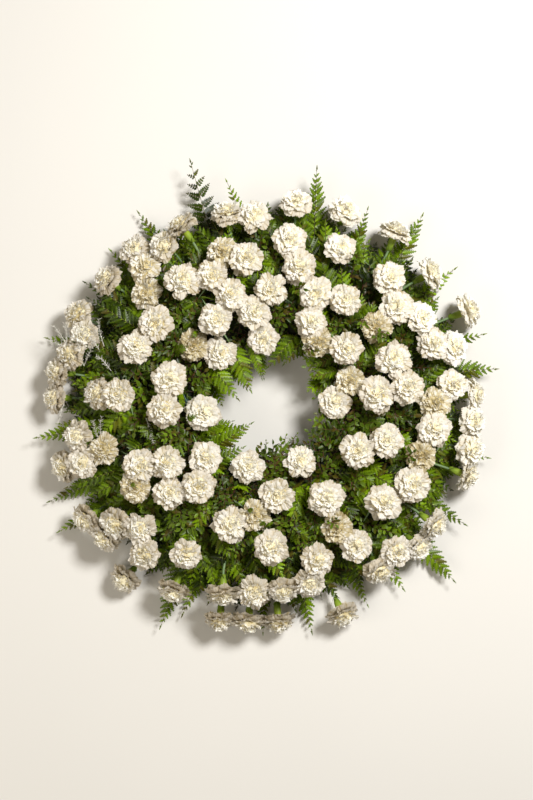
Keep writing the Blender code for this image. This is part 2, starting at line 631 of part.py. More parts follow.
class Stems:
    """A stem with its calyx for each head, bent clear of the other heads on its way to the moss."""

    def __init__(self, blooms):
        self.blooms = blooms
        self.paths, self.sectors, self.roots = [], [], []
        for k in range(len(blooms.radii)):
            self.route(k)
        lines = [np.array([curve(p, t) for t in np.linspace(0, 1, 13)]) for p in self.paths]
        self.standing = list(zip(lines, self.sectors))

    def calyx_ends(self, k):
        blooms = self.blooms
        back = blooms.centres[k] + blooms.axes[k] * (HEAD_BACK * blooms.radii[k] - GAP)
        return back, back - blooms.axes[k] * CALYX_LENGTH

    def route(self, k):
        axis = self.blooms.axes[k]
        _, start = self.calyx_ends(k)
        sector = sector_of(start)
        best = None
        for swing in STEM_SWINGS:
            for shift in STEM_SHIFTS:
                angle = clamped_angle(ring_angle(start) + radians(swing), sector, STEM_MARGIN)
                root = moss_root(angle, ring_radius(start) + shift * MM)
                length = np.linalg.norm(root - start)
                arrive = unit(root - ring_point(angle, BED_MIDDLE, STEMS_MEET))
                control = (start, start - axis * 0.35 * length, root + arrive * 0.3 * length, root)
                line = np.array([curve(control, t) for t in np.linspace(0.1, 0.9, 9)])
                clear = self.blooms.gap_at(line, leave_out=(k,)).min() - STEM_RADIUS
                crowd = min(
                    (np.linalg.norm(root - other) for other in self.roots), default=1.0
                )
                score = min(clear, 3 * MM) * 10 - 0.1 * length + 0.5 * min(crowd, 12 * MM)
                if best is None or score > best[0]:
                    best = (score, control, root)
        self.paths.append(best[1])
        self.roots.append(best[2])
        self.sectors.append(sector)

    def shape(self, k):
        back, start = self.calyx_ends(k)
        rim = self.blooms.axes[k][2] < 0.75
        run = [curve(self.paths[k], t) for t in ((0.5, 1.0) if rim or start[2] > LONG_STEM else (1.0,))]
        radii = [CALYX_TOP, CALYX_FOOT] + [STEM_RADIUS] * len(run)
        return tube_shape([back, start] + run, radii, 4 if rim else 3, turn=1.1 * k)

    def gap_at(self, points, sector):
        """How far each point is from the nearest stem or blade of any other sector."""
        lines = [line for line, own in self.standing if own != sector]
        others = np.concatenate(lines)
        return np.linalg.norm(points[:, None] - others[None], axis=2).min(axis=1) - STAND_OFF

    def pegs(self, sector):
        """Where stems of this sector run on into the foam: a few that stand well apart on its top."""
        chosen = []
        for k, root in enumerate(self.roots):
            on_top = abs(ring_radius(root) - BED_MIDDLE) < BED_HALF and root[2] > FOAM_TOP
            if self.sectors[k] != sector or not on_top or len(chosen) == PEGS_IN_SECTOR:
                continue
            if all(np.linalg.norm(root - other) > PEG_SPACING for other in chosen):
                chosen.append(root)
        return chosen


def peg_shape(root, spare=0.0):
    """A stem's lower end in the foam, or with some spare its hole: three sides, straight down."""
    top = root + np.array([0, 0, 1 * MM if not spare else 8 * MM])
    foot = np.array([root[0], root[1], FOAM_TOP - HOLE_DEPTH - spare])
    return tube_shape([top, foot], [STEM_RADIUS + 2 * spare] * 2, 3)


def fit_blade(make, blooms, stems, sector, options):
    """The first of several blades that is clear, or else the one with most room, with its clear leaflets."""
    best = None
    for option in options:
        blade = make(*option)
        line = blade.samples()
        room = min(blooms.gap_at(line).min(), stems.gap_at(line, sector).min())
        tips, places = blade.leaflet_points()
        gaps = [np.minimum(blooms.gap_at(spots), stems.gap_at(spots, sector)) for spots in places]
        clear = (np.min(gaps, axis=0) > BLADE_CLEAR) & (tips[:, 2] > 2 * MM)
        score = min(room, BLADE_CLEAR) * 1000 + 0.1 * clear.sum()
        if best is None or score > best[0] + 1e-9:
            best = (score, blade, clear.reshape(-1, 2))
    return best[1:]


def frond_blades(blooms, stems):
    """Every frond that finds a clear way, with its sector."""
    found = []
    for row in FRONDS:
        tip = photo_point(row[0], row[1], row[5] * MM)
        base = photo_point(row[2], row[3], FOAM_TOP + MOSS_THICK + 1 * MM)
        over_hole = ring_radius(tip) < TRAY_INNER
        sector = sector_of(base)
        angle = clamped_angle(ring_angle(base), sector, FROND_MARGIN)
        root = moss_root(angle, ring_radius(base) if over_hole else ring_radius(base) + 40 * MM)
        across = unit(np.cross(tip - root, (0, 0, 1)))

        def make(height, swing):
            middle = 0.5 * (root + tip) + across * swing * MM
            middle[2] = height * MM
            control = (root, root * 0.55 + middle * 0.45, middle * 0.75 + tip * 0.25, tip)
            pairs = HOLE_FROND_PAIRS if over_hole else FROND_PAIRS
            return Blade(control, row[4] * PHOTO_PIXEL, pairs, 0.2 if over_hole else 0.34)

        options = [(h, s) for s in FROND_SWINGS for h in FROND_HEIGHTS]
        blade, clear = fit_blade(make, blooms, stems, sector, options)
        found.append((sector, blade, clear))
        spots = [blade.samples()] + blade.leaflet_points()[1]
        stems.standing.append((np.concatenate(spots), sector))
    return found


def in_sight(points, blooms):
    """How many of these points no head hides from above."""
    across = np.linalg.norm(points[:, None, :2] - blooms.centres[None, :, :2], axis=2)
    hidden = (across < 0.9 * blooms.radii) & (points[:, None, 2] < blooms.centres[None, :, 2])
    return int((~hidden.any(axis=1)).sum())


def sprig_choices(sector):
    """Every arching way that a sprig of this sector might take: up out of the moss and over to one side."""
    width = 2 * pi / SECTORS
    for share in (0.15, 0.32, 0.5, 0.68, 0.85):
        for radius in (140, 160, 180, 200, 220, 240):
            root = moss_root(clamped_angle((sector + share) * width, sector, SPRIG_MARGIN), radius * MM)
            for turn in range(8):
                heading = np.array([cos(turn * pi / 4), sin(turn * pi / 4), 0])
                rise = np.array([0, 0, SPRIG_RISE])
                tip = root + SPRIG_LENGTH * heading + rise
                yield root, root + 0.8 * rise, tip - 0.5 * SPRIG_LENGTH * heading, tip


def sprig_blades(blooms, stems):
    """The sprigs of each sector that show best between the heads and touch none of them."""
    found = []
    for sector in range(SECTORS):
        fitting = []
        for control in sprig_choices(sector):
            for half in SPRIG_WIDTHS:
                blade = Blade(control, half * MM, SPRIG_PAIRS, 0.34, blunt=1.0)
                points = np.concatenate([blade.samples()[6:]] + blade.leaflet_points()[1][:2])
                shown = in_sight(points, blooms)
                if shown < 0.6 * len(points):
                    break
                if strays(np.concatenate([blade.samples(), *blade.leaflet_points()[1]]), sector):
                    continue
                gaps = np.minimum(blooms.gap_at(points), stems.gap_at(points, sector))
                if gaps.min() > BLADE_CLEAR:
                    fitting.append((-shown * half, len(fitting), blade))
                    break
        chosen = []
        for _, _, blade in sorted(fitting, key=lambda item: item[:2]):
            apart = [np.linalg.norm(blade.control[3] - other.control[3]) for other in chosen]
            if min(apart, default=1) > SPRIG_SPACING and len(chosen) < SPRIGS_IN_SECTOR:
                chosen.append(blade)
        for blade in chosen:
            found.append((sector, blade, np.ones((SPRIG_PAIRS, 2), bool)))
            stems.standing.append((np.concatenate([blade.samples(), blade.leaflet_points()[0]]), sector))
    return found


def make_tray(collection, material):
    outline = [
        (TRAY_OUTER - TRAY_WALL, TRAY_HEIGHT), (TRAY_OUTER, TRAY_HEIGHT), (TRAY_OUTER, 0),
        (TRAY_INNER, 0), (TRAY_INNER, TRAY_HEIGHT), (TRAY_INNER + TRAY_WALL, TRAY_HEIGHT),
        (TRAY_INNER + TRAY_WALL, TRAY_FLOOR), (TRAY_OUTER - TRAY_WALL, TRAY_FLOOR),
    ]
    return turned_ring("base_tray", outline, collection, material)


def make_foam(pegs, collection, cutters, material):
    """The foam ring with a plain hole for each stem that runs into it."""
    inner, outer = TRAY_INNER + TRAY_WALL + GAP, TRAY_OUTER - TRAY_WALL - GAP
    floor = TRAY_FLOOR + GAP
    outline = [
        (outer - FOAM_LEAN, FOAM_TOP), (outer, floor), (inner, floor), (inner + FOAM_LEAN, FOAM_TOP),
    ]
    foam = turned_ring("foam_ring", outline, collection, material)
    points, faces = [], []
    for root in pegs:
        more, sides = peg_shape(root, spare=GAP)
        faces += [tuple(i + len(points) for i in face) for face in sides]
        points += more
    holes = new_object("stem_holes", points, faces, cutters)
    holes.hide_render = True
    holes.display_type = "WIRE"
    cut = foam.modifiers.new("stem holes", "BOOLEAN")
    cut.operation = "DIFFERENCE"
    cut.object = holes
    return foam


def make_carnations(blooms, collection, material):
    """One object for each bunch of heads."""
    rng = np.random.default_rng(SEED)
    shapes = [
        head_shape(c, a, r, rng) for c, a, r in zip(blooms.centres, blooms.axes, blooms.radii)
    ]
    for number, bunch in enumerate(sorted(set(blooms.bunch)), 1):
        members = [shapes[k] for k in np.nonzero(blooms.bunch == bunch)[0]]
        fused(f"carnations_{number:02d}", members, collection, material)


def make_greens(stems, blades, collection, material):
    """One object for each sixteenth of the ring: moss, stems with their calyces, fronds and sprigs."""
    pegs = []
    for sector in range(SECTORS):
        shapes = [moss_shape(sector)]
        shapes += [stems.shape(k) for k, own in enumerate(stems.sectors) if own == sector]
        own_pegs = stems.pegs(sector)
        shapes += [peg_shape(root) for root in own_pegs]
        shapes += [blade.shape(kept) for own, blade, kept in blades if own == sector]
        fused(f"greens_{sector + 1:02d}", shapes, collection, material)
        pegs += own_pegs
    return pegs


def main():
    clear_scene()
    wreath = new_collection("funeral_wreath")
    cutters = new_collection("cutters", cutters=True)
    petals = new_material("carnation petals", (0.87, 0.84, 0.72), 0.6)
    leaves = new_material("fern and stems", (0.06, 0.16, 0.03), 0.45)
    foam_green = new_material("floral foam", (0.02, 0.06, 0.05), 0.9)
    plastic = new_material("moulded plastic", (0.01, 0.03, 0.02), 0.4)
    blooms = Blooms()
    stems = Stems(blooms)
    blades = frond_blades(blooms, stems) + sprig_blades(blooms, stems)
    make_carnations(blooms, wreath, petals)
    pegs = make_greens(stems, blades, wreath, leaves)
    make_foam(pegs, wreath, cutters, foam_green)
    make_tray(wreath, plastic)


if __name__ == "__main__":
    main()
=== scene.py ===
"""Funeral wreath of white carnations, fern and small-leaved sprigs, dressed with petals and leaves.

Metres, +Z up out of the wreath's face and +Y towards its top. The wreath lies on its back on a pale floor
and the camera looks straight down on it, as the photograph looks at its face.
"""

from functools import lru_cache
from math import atan2, cos, hypot, pi, radians, sin, sqrt

import bpy
import numpy as np
from bpy.props import FloatProperty, FloatVectorProperty, PointerProperty
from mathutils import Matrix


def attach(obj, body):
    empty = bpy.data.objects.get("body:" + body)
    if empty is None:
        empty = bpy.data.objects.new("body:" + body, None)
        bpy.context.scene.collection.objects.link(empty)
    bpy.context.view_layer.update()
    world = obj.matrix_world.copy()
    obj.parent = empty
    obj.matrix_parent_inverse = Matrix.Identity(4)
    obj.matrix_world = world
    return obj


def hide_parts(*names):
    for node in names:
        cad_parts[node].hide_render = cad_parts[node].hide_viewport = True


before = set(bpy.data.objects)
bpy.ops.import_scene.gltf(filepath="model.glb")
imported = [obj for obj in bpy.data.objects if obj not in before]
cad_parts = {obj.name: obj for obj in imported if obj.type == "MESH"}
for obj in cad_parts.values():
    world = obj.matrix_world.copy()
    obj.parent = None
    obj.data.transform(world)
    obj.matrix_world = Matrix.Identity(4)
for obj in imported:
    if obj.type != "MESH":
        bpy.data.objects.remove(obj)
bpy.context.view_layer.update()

bl_info = {
    "name": "Funeral wreath",
    "version": (1, 0, 0),
    "blender": (4, 5, 0),
    "location": "3D View > Sidebar > Wreath",
    "description": "Dresses the solids of a funeral wreath with petals, fern, leaves, stems, foam and tray",
    "category": "Object",
}

MM = 0.001
BODY = "root"
# Leaf tips that would sag below this lie on the floor, each a little lower the further it would sag.
LOWEST, SAG_SHARE = 1 * MM, 0.15

# The photograph looks straight down on the face. Places in it are pixels from its top left corner.
PHOTO_HEIGHT = 800
PHOTO_MIDDLE_X, PHOTO_MIDDLE_Y = 266.5, 400.0
PHOTO_PIXEL = 1.8 * MM  # at the height of the flowers' faces
FACES_HEIGHT = 120 * MM
VIEW_DISTANCE = 3.0
VIEW_AXIS_Y = -2 * MM  # where the line of sight meets the ground, along Y
RING_X, RING_Y = 0.0, -13 * MM

# The flowers' faces make a crown: its highest radius, its height there, and how far it has dropped at
# a given distance inside and outside that radius.
CROWN_RADIUS, CROWN_HEIGHT = 215 * MM, 132 * MM
CROWN_DROP_IN, CROWN_RUN_IN = 35 * MM, 95 * MM
CROWN_DROP_OUT, CROWN_RUN_OUT = 72 * MM, 165 * MM

# The tray, the foam ring in it, and the bed of greens that wraps the foam.
TRAY_INNER, TRAY_OUTER, TRAY_HEIGHT = 142 * MM, 248 * MM, 18 * MM
TRAY_WALL, TRAY_FLOOR = 2.5 * MM, 3 * MM
GAP = 0.3 * MM
FOAM_TOP = 58 * MM
FOAM_LEAN = 6 * MM
SECTORS = 16
SECTOR_TURN = 2 * pi / SECTORS
MARGIN_RADIUS = 190 * MM
MOSS_THICK = 11 * MM
MOSS_FOOT = TRAY_HEIGHT + 1 * MM
BED_MIDDLE, BED_EDGE = 195 * MM, 14 * MM
RIM_ROOT, RIM_ROOT_OUT, RIM_ROOT_HEIGHT = 30 * MM, 2 * MM, 40 * MM
HOLE_ROOT, HOLE_ROOT_IN, HOLE_ROOT_HEIGHT = 15 * MM, 2 * MM, 44 * MM
STEM_MARGIN, FROND_MARGIN, SPRIG_MARGIN, STRAY_MARGIN = 9 * MM, 6 * MM, 8 * MM, 5 * MM
STEM_RADIUS = 2.2 * MM
CALYX_TOP, CALYX_FOOT, CALYX_LENGTH = 7.5 * MM, 4 * MM, 22 * MM
STEM_SWINGS = (0, 3, -3, 6, -6, 9, -9)  # degrees about the ring
STEM_SHIFTS = (0, -15, 15, -30, 30, -50, 50)  # mm, in or out
STEMS_MEET = 25 * MM
# How far a stem runs straight on at either end, as a share of its length, and what its way is chosen by: its
# room, up to so much, its length, and how far its root is from the others, up to so much.
STEM_LEAVES, STEM_ARRIVES = 0.35, 0.3
ROOM_WANTED, ROOTS_APART = 3 * MM, 12 * MM
ROOM_COUNTS, LENGTH_COSTS, APART_COUNTS = 10, 0.1, 0.5

# The outline of a carnation's head in head radii, out from its axis and up along it.
HEAD_BACK = -0.42
HEAD_SKIRT_OUT = (1.0, 0.04)
HEAD_TIER, HEAD_TUFT = (0.80, 0.38), (0.42, 0.60)
HEAD_JITTER = 0.05
PRESS_LEAST, PRESS_MOST = 12 * MM, 18 * MM
HEADS_APART = 1.2 * MM
BUNCH_REACH, PUSH_REACH = 90 * MM, 130 * MM
LEAST_HEIGHT = 4 * MM
HOME_PULL = 0.04
MOST_IN_BUNCH, MOST_BUNCHES = 6, 42
SETTLE_ROUNDS = 500
SETTLE_SHARES = (0.3, 0.3, 0.9)
PULL_FADE = 1.3  # the pull towards each head's place ends this many times before the last round
FAR = 1.0  # stands for any distance that is too great to matter
NEAR_HEADS = 80 * MM  # a head whose centre is further off than this touches nothing

# Each bloom: photo x, photo y, size across in px, tilt from facing up in degrees, the way that it leans in
# degrees from +X towards +Y, and how far it is sunk below the wreath's crown in mm.
BLOOMS = (
    (132, 245, 33, 40, 135, 0), (106, 279, 34, 55, 145, 0), (143, 269, 33, 15, 110, 18),
    (165, 244, 34, 35, 150, 4), (182, 225, 36, 78, 127, 6), (180, 281, 37, 5, 120, 0),
    (146, 298, 34, 15, 150, 22), (223, 211, 35, 60, 100, 0), (258, 217, 35, 25, 95, 0),
    (297, 202, 34, 42, 85, 0), (220, 252, 33, 15, 110, 22), (248, 258, 37, 6, 90, 0),
    (210, 272, 34, 5, 110, 0), (289, 237, 36, 12, 90, 0), (297, 264, 36, 0, 90, 0),
    (340, 248, 33, 12, 75, 0), (346, 210, 36, 48, 65, 0), (234, 295, 34, 0, 0, 4),
    (272, 288, 34, 0, 0, 2), (319, 293, 37, 3, 60, 0), (396, 232, 36, 78, 68, 0),
    (388, 271, 36, 12, 50, 0), (431, 273, 36, 74, 27, 0), (468, 311, 37, 82, 20, 0),
    (78, 313, 33, 35, 150, 8), (90, 330, 33, 15, 160, 0), (69, 356, 33, 40, 175, 6),
    (52, 371, 35, 62, 172, 0), (51, 402, 32, 60, 180, 0), (134, 349, 36, 0, 0, 0),
    (157, 321, 37, 3, 150, 0), (92, 393, 34, 42, 178, 0), (123, 396, 34, 8, 180, 4),
    (169, 378, 37, 0, 0, 0), (164, 411, 36, 0, 0, 0), (190, 344, 33, 0, 0, 26),
    (214, 321, 36, 0, 0, 0), (254, 315, 35, 0, 0, 0), (223, 355, 35, 6, 320, 0),
    (263, 339, 34, 6, 280, 0), (309, 326, 33, 4, 250, 0), (317, 345, 32, 10, 240, 24),
    (346, 349, 35, 5, 220, 0), (334, 403, 34, 10, 180, 0), (350, 380, 32, 5, 200, 22),
    (203, 413, 37, 8, 0, 0), (348, 300, 34, 0, 0, 0), (394, 308, 36, 4, 40, 0),
    (428, 314, 34, 30, 25, 0), (430, 348, 34, 5, 20, 0), (461, 348, 37, 50, 10, 0),
    (392, 356, 37, 0, 0, 0), (372, 331, 33, 0, 0, 26), (375, 395, 38, 0, 0, 0),
    (411, 391, 35, 0, 0, 0), (453, 385, 33, 18, 5, 0), (479, 385, 34, 80, 5, 0),
    (435, 400, 33, 8, 0, 26), (471, 419, 34, 45, 355, 0), (76, 436, 34, 30, 185, 0),
    (108, 446, 33, 10, 200, 24), (56, 467, 35, 52, 195, 0), (84, 467, 33, 12, 200, 0),
    (137, 465, 35, 0, 0, 0), (168, 459, 36, 0, 0, 0), (136, 488, 33, 5, 210, 24),
    (164, 499, 35, 0, 0, 0), (80, 518, 34, 55, 215, 0), (113, 520, 36, 40, 215, 0),
    (144, 525, 34, 10, 225, 0), (206, 456, 35, 6, 40, 0), (203, 488, 36, 0, 0, 0),
    (248, 467, 36, 6, 80, 0), (300, 461, 34, 8, 110, 0), (277, 496, 38, 0, 0, 0),
    (326, 498, 37, 0, 0, 0), (229, 526, 37, 0, 0, 0), (255, 515, 33, 0, 0, 26),
    (336, 527, 32, 0, 0, 24), (353, 452, 37, 6, 150, 0), (392, 440, 36, 0, 0, 0),
    (437, 429, 37, 6, 350, 0), (418, 455, 33, 0, 0, 26), (468, 451, 35, 38, 350, 0),
    (470, 485, 35, 80, 340, 0), (415, 487, 39, 4, 330, 0), (381, 505, 39, 3, 310, 0),
    (436, 519, 36, 70, 324, 0), (105, 544, 35, 60, 220, 0), (145, 559, 34, 22, 235, 0),
    (124, 580, 34, 55, 230, 0), (173, 591, 36, 70, 249, 0), (186, 555, 33, 12, 250, 2),
    (217, 595, 36, 72, 270, 0), (213, 617, 34, 72, 265, 0), (246, 621, 37, 76, 268, 0),
    (256, 593, 36, 18, 268, 0), (283, 593, 34, 50, 272, 0), (288, 626, 36, 76, 275, 0),
    (271, 548, 37, 3, 270, 0), (319, 557, 34, 6, 280, 0), (312, 586, 34, 32, 280, 0),
    (343, 615, 36, 66, 295, 0), (357, 547, 34, 6, 300, 0), (398, 547, 34, 18, 310, 0),
    (419, 553, 34, 58, 315, 0), (378, 577, 35, 52, 295, 0),
)

# Each frond: photo x and y of its tip, then of the place where it comes clear of the moss, its
# half width in px and the height of its tip in mm. Tips round the rim first, then those over the hole.
FRONDS = (
    (190, 160, 206, 232, 22, 60), (226, 180, 236, 236, 13, 96), (317, 167, 330, 236, 17, 60),
    (368, 208, 364, 262, 12, 60), (423, 214, 404, 262, 18, 40), (456, 268, 420, 300, 14, 20),
    (497, 369, 440, 362, 18, 40), (485, 334, 440, 340, 14, 66), (489, 458, 440, 452, 15, 30),
    (466, 525, 425, 500, 15, 40), (455, 582, 420, 530, 20, 30), (404, 590, 382, 550, 16, 30),
    (368, 606, 352, 572, 12, 16), (312, 633, 300, 590, 15, 20), (263, 634, 262, 590, 12, 14),
    (182, 616, 196, 580, 14, 20), (160, 628, 172, 566, 18, 24), (58, 532, 100, 512, 16, 30),
    (48, 502, 92, 486, 14, 14), (35, 438, 90, 426, 16, 40), (46, 338, 92, 346, 16, 20),
    (110, 250, 136, 282, 15, 14), (138, 212, 166, 250, 15, 20), (222, 405, 214, 372, 14, 92),
    (247, 390, 232, 362, 10, 88), (264, 379, 258, 352, 9, 84), (308, 391, 332, 374, 12, 88),
    (241, 426, 208, 436, 12, 84), (290, 440, 300, 470, 12, 88),
)
FROND_PAIRS = 6
HOLE_FROND_PAIRS = 4
FROND_HEIGHTS = (8, 14, 22, 32, 44, 56, 70, 84, 98, 112)  # mm, tried in turn at the middle of a frond
FROND_SWINGS = (0, 10, -10, 20, -20, 30, -30)  # mm, tried in turn to either side of its straight line
BLADE_CLEAR, BLADE_DROOP = 2.5 * MM, 0.12
STAND_OFF = 4 * MM  # the half width kept free about a stem or another blade

# Small-leaved sprigs that stand in the gaps between the heads.
SPRIGS_IN_SECTOR = 2
SPRIG_PAIRS = 3
SPRIG_WIDTHS = (21, 15)  # mm, half the width, the widest that fits is used
SPRIG_LENGTH, SPRIG_RISE, SPRIG_SPACING = 52 * MM, 36 * MM, 34 * MM
SPRIG_SHARES, SPRIG_RADII, SPRIG_TURNS = (0.15, 0.32, 0.5, 0.68, 0.85), (140, 160, 180, 200, 220, 240), 8
SPRIG_SHOWN = 0.6  # the least share of a sprig that no head may hide
LEAST_TIP = 2 * MM  # a leaflet's tip that hangs lower would touch the ground
ALIKE = 1e-9  # two numbers this near each other differ only by rounding


def unit(vector):
    return np.asarray(vector, float) / np.linalg.norm(vector)


def photo_point(x, y, z):
    """The point at height z that the photograph shows at pixel x, y."""
    pixel = PHOTO_PIXEL * (VIEW_DISTANCE - z) / (VIEW_DISTANCE - FACES_HEIGHT)
    return np.array([(x - PHOTO_MIDDLE_X) * pixel, VIEW_AXIS_Y - (y - PHOTO_MIDDLE_Y) * pixel, z])


def ring_angle(point):
    return atan2(point[1] - RING_Y, point[0] - RING_X) % (2 * pi)


def ring_radius(point):
    return hypot(point[0] - RING_X, point[1] - RING_Y)


def ring_point(angle, radius, z):
    return np.array([RING_X + radius * cos(angle), RING_Y + radius * sin(angle), z])


def crown_height(radius):
    """The height of the wreath's crown at this distance from the middle of the ring."""
    if radius < CROWN_RADIUS:
        return CROWN_HEIGHT - CROWN_DROP_IN * ((CROWN_RADIUS - radius) / CROWN_RUN_IN) ** 2
    return CROWN_HEIGHT - CROWN_DROP_OUT * ((radius - CROWN_RADIUS) / CROWN_RUN_OUT) ** 2


def even_directions(count):
    """Unit vectors spread evenly over a sphere."""
    k = np.arange(count)
    up = 1 - (2 * k + 1) / count
    turn = k * pi * (3 - sqrt(5))
    out = np.sqrt(1 - up**2)
    return np.stack([out * np.cos(turn), out * np.sin(turn), up], axis=1)


DIRECTIONS = even_directions(96)


def reach(axes, out, up, directions):
    """How far a turned hull reaches along each direction: out and up give its outline's corners."""
    along = axes @ directions.T
    across = np.sqrt(np.maximum(0, 1 - along**2))
    corners = out[:, None, :] * across[:, :, None] + up[:, None, :] * along[:, :, None]
    return corners.max(axis=2)


class Blooms:
    """The places, axes and sizes of all the carnation heads, pressed together as in the wreath."""

    def __init__(self):
        rows = np.array(BLOOMS, float)
        tilt, heading = np.radians(rows[:, 3]), np.radians(rows[:, 4])
        self.axes = np.stack(
            [np.sin(tilt) * np.cos(heading), np.sin(tilt) * np.sin(heading), np.cos(tilt)], axis=1
        )
        self.radii = rows[:, 2] * PHOTO_PIXEL / 2
        self.centres = np.array([self.first_place(*row[[0, 1, 5]]) for row in rows])
        self.home = self.centres.copy()
        radii = self.radii[:, None]
        self.head_out = radii * np.array([[1.0, HEAD_TIER[0], HEAD_TUFT[0], 0]]) * (1 + HEAD_JITTER)
        self.head_up = radii * np.array([[HEAD_SKIRT_OUT[1], HEAD_TIER[1], HEAD_TUFT[1], HEAD_BACK]])
        self.head_up[:, :3] += HEAD_JITTER * radii
        self.calyx_out = np.tile([CALYX_TOP, CALYX_FOOT], (len(rows), 1))
        self.calyx_up = HEAD_BACK * radii - np.array([[0, CALYX_LENGTH]])
        head, calyx = (self.axes, self.head_out, self.head_up), (self.axes, self.calyx_out, self.calyx_up)
        self.head_ahead, self.head_behind = reach(*head, DIRECTIONS), reach(*head, -DIRECTIONS)
        self.calyx_ahead, self.calyx_behind = reach(*calyx, DIRECTIONS), reach(*calyx, -DIRECTIONS)
        self.lowest = reach(*head, np.array([[0, 0, -1.0]]))[:, 0]
        self.bunch, self.touching = self.gather()
        self.settle()

    def first_place(self, x, y, drop):
        radius = ring_radius(photo_point(x, y, FACES_HEIGHT))
        return photo_point(x, y, crown_height(radius) - drop * MM)

    def near_pairs(self, within):
        apart = np.linalg.norm(self.centres[:, None] - self.centres[None], axis=2)
        return np.nonzero((apart < within) & (apart > 0))

    def apart(self, first, second, ahead, behind):
        """The widest gap between two hulls, below zero where they overlap, and its direction."""
        gaps = (self.centres[second] - self.centres[first]) @ DIRECTIONS.T - ahead[first] - behind[second]
        best = gaps.argmax(axis=1)
        return gaps[np.arange(len(best)), best], DIRECTIONS[best]

    def gather(self):
        """Bunches of the heads that press most on each other."""
        first, second = self.near_pairs(BUNCH_REACH)
        ordered = first < second
        first, second = first[ordered], second[ordered]
        gaps, _ = self.apart(first, second, self.head_ahead, self.head_behind)
        calyx_a, _ = self.apart(first, second, self.calyx_ahead, self.head_behind)
        calyx_b, _ = self.apart(second, first, self.calyx_ahead, self.head_behind)
        bunch = list(range(len(self.radii)))
        touching = []
        for k in np.argsort(gaps - 2 * np.minimum(0, np.minimum(calyx_a, calyx_b))):
            a, b = bunch[first[k]], bunch[second[k]]
            if a == b or bunch.count(a) + bunch.count(b) > MOST_IN_BUNCH:
                continue
            bunch = [a if g == b else g for g in bunch]
            touching.append((first[k], second[k]))
            if len(set(bunch)) <= MOST_BUNCHES:
                break
        return np.array(bunch), touching

    def settle(self):
        """Presses bunched heads together and moves others clear, each near its place in the photograph."""
        first, second = self.near_pairs(PUSH_REACH)
        one_way = first < second
        head_a, head_b = first[one_way], second[one_way]
        same = self.bunch[head_a] == self.bunch[head_b]
        joined = np.array([(a, b) in set(self.touching) for a, b in zip(head_a, head_b)])
        for step in range(SETTLE_ROUNDS):
            move = np.zeros_like(self.centres)
            gap, way = self.apart(head_a, head_b, self.head_ahead, self.head_behind)
            push = np.where(same, np.maximum(0, -PRESS_MOST - gap), np.maximum(0, HEADS_APART - gap))
            push = np.where(joined & (gap > -PRESS_LEAST), -PRESS_LEAST - gap, push)
            self.add_moves(move, head_a, head_b, way, push)
            for a, b, behind in ((first, second, self.head_behind), (head_a, head_b, self.calyx_behind)):
                gap, way = self.apart(a, b, self.calyx_ahead, behind)
                self.add_moves(move, a, b, way, np.maximum(0, HEADS_APART - gap))
            pull = HOME_PULL * max(0, 1 - PULL_FADE * step / SETTLE_ROUNDS)
            self.centres += move * SETTLE_SHARES + pull * (self.home - self.centres)
            self.centres[:, 2] = np.maximum(self.centres[:, 2], self.lowest + LEAST_HEIGHT)

    @staticmethod
    def add_moves(move, first, second, way, push):
        np.add.at(move, first, -way * push[:, None] / 2)
        np.add.at(move, second, way * push[:, None] / 2)

    def gap_at(self, points, leave_out=()):
        """How far each point is from the nearest head or calyx."""
        points = np.atleast_2d(points)
        low, high = points.min(axis=0) - NEAR_HEADS, points.max(axis=0) + NEAR_HEADS
        near = ((self.centres > low) & (self.centres < high)).all(axis=1)
        kept = [k for k in np.nonzero(near)[0] if k not in leave_out]
        reached = points @ DIRECTIONS.T
        nearest = np.full(len(points), FAR)
        if not kept:
            return nearest
        for ahead in (self.head_ahead, self.calyx_ahead):
            base = self.centres[kept] @ DIRECTIONS.T + ahead[kept]
            gaps = (reached[:, None, :] - base[None]).max(axis=2)
            nearest = np.minimum(nearest, gaps.min(axis=1))
        return nearest


def frame_of(axis, turn=0.0):
    """Two unit vectors across an axis, turned about it."""
    helper = np.array([1.0, 0, 0]) if abs(axis[0]) < 0.8 else np.array([0, 1.0, 0])
    side = unit(np.cross(axis, helper))
    other = np.cross(axis, side)
    return cos(turn) * side + sin(turn) * other, cos(turn) * other - sin(turn) * side


def curve(points, t):
    """A point of the Bezier curve through four control points."""
    a, b, c, d = points
    s = 1 - t
    return s**3 * a + 3 * s * s * t * b + 3 * s * t * t * c + t**3 * d


def curve_points(control, count, first=0, last=1):
    """So many points along the Bezier curve, or along a part of it."""
    return np.array([curve(control, t) for t in np.linspace(first, last, count)])


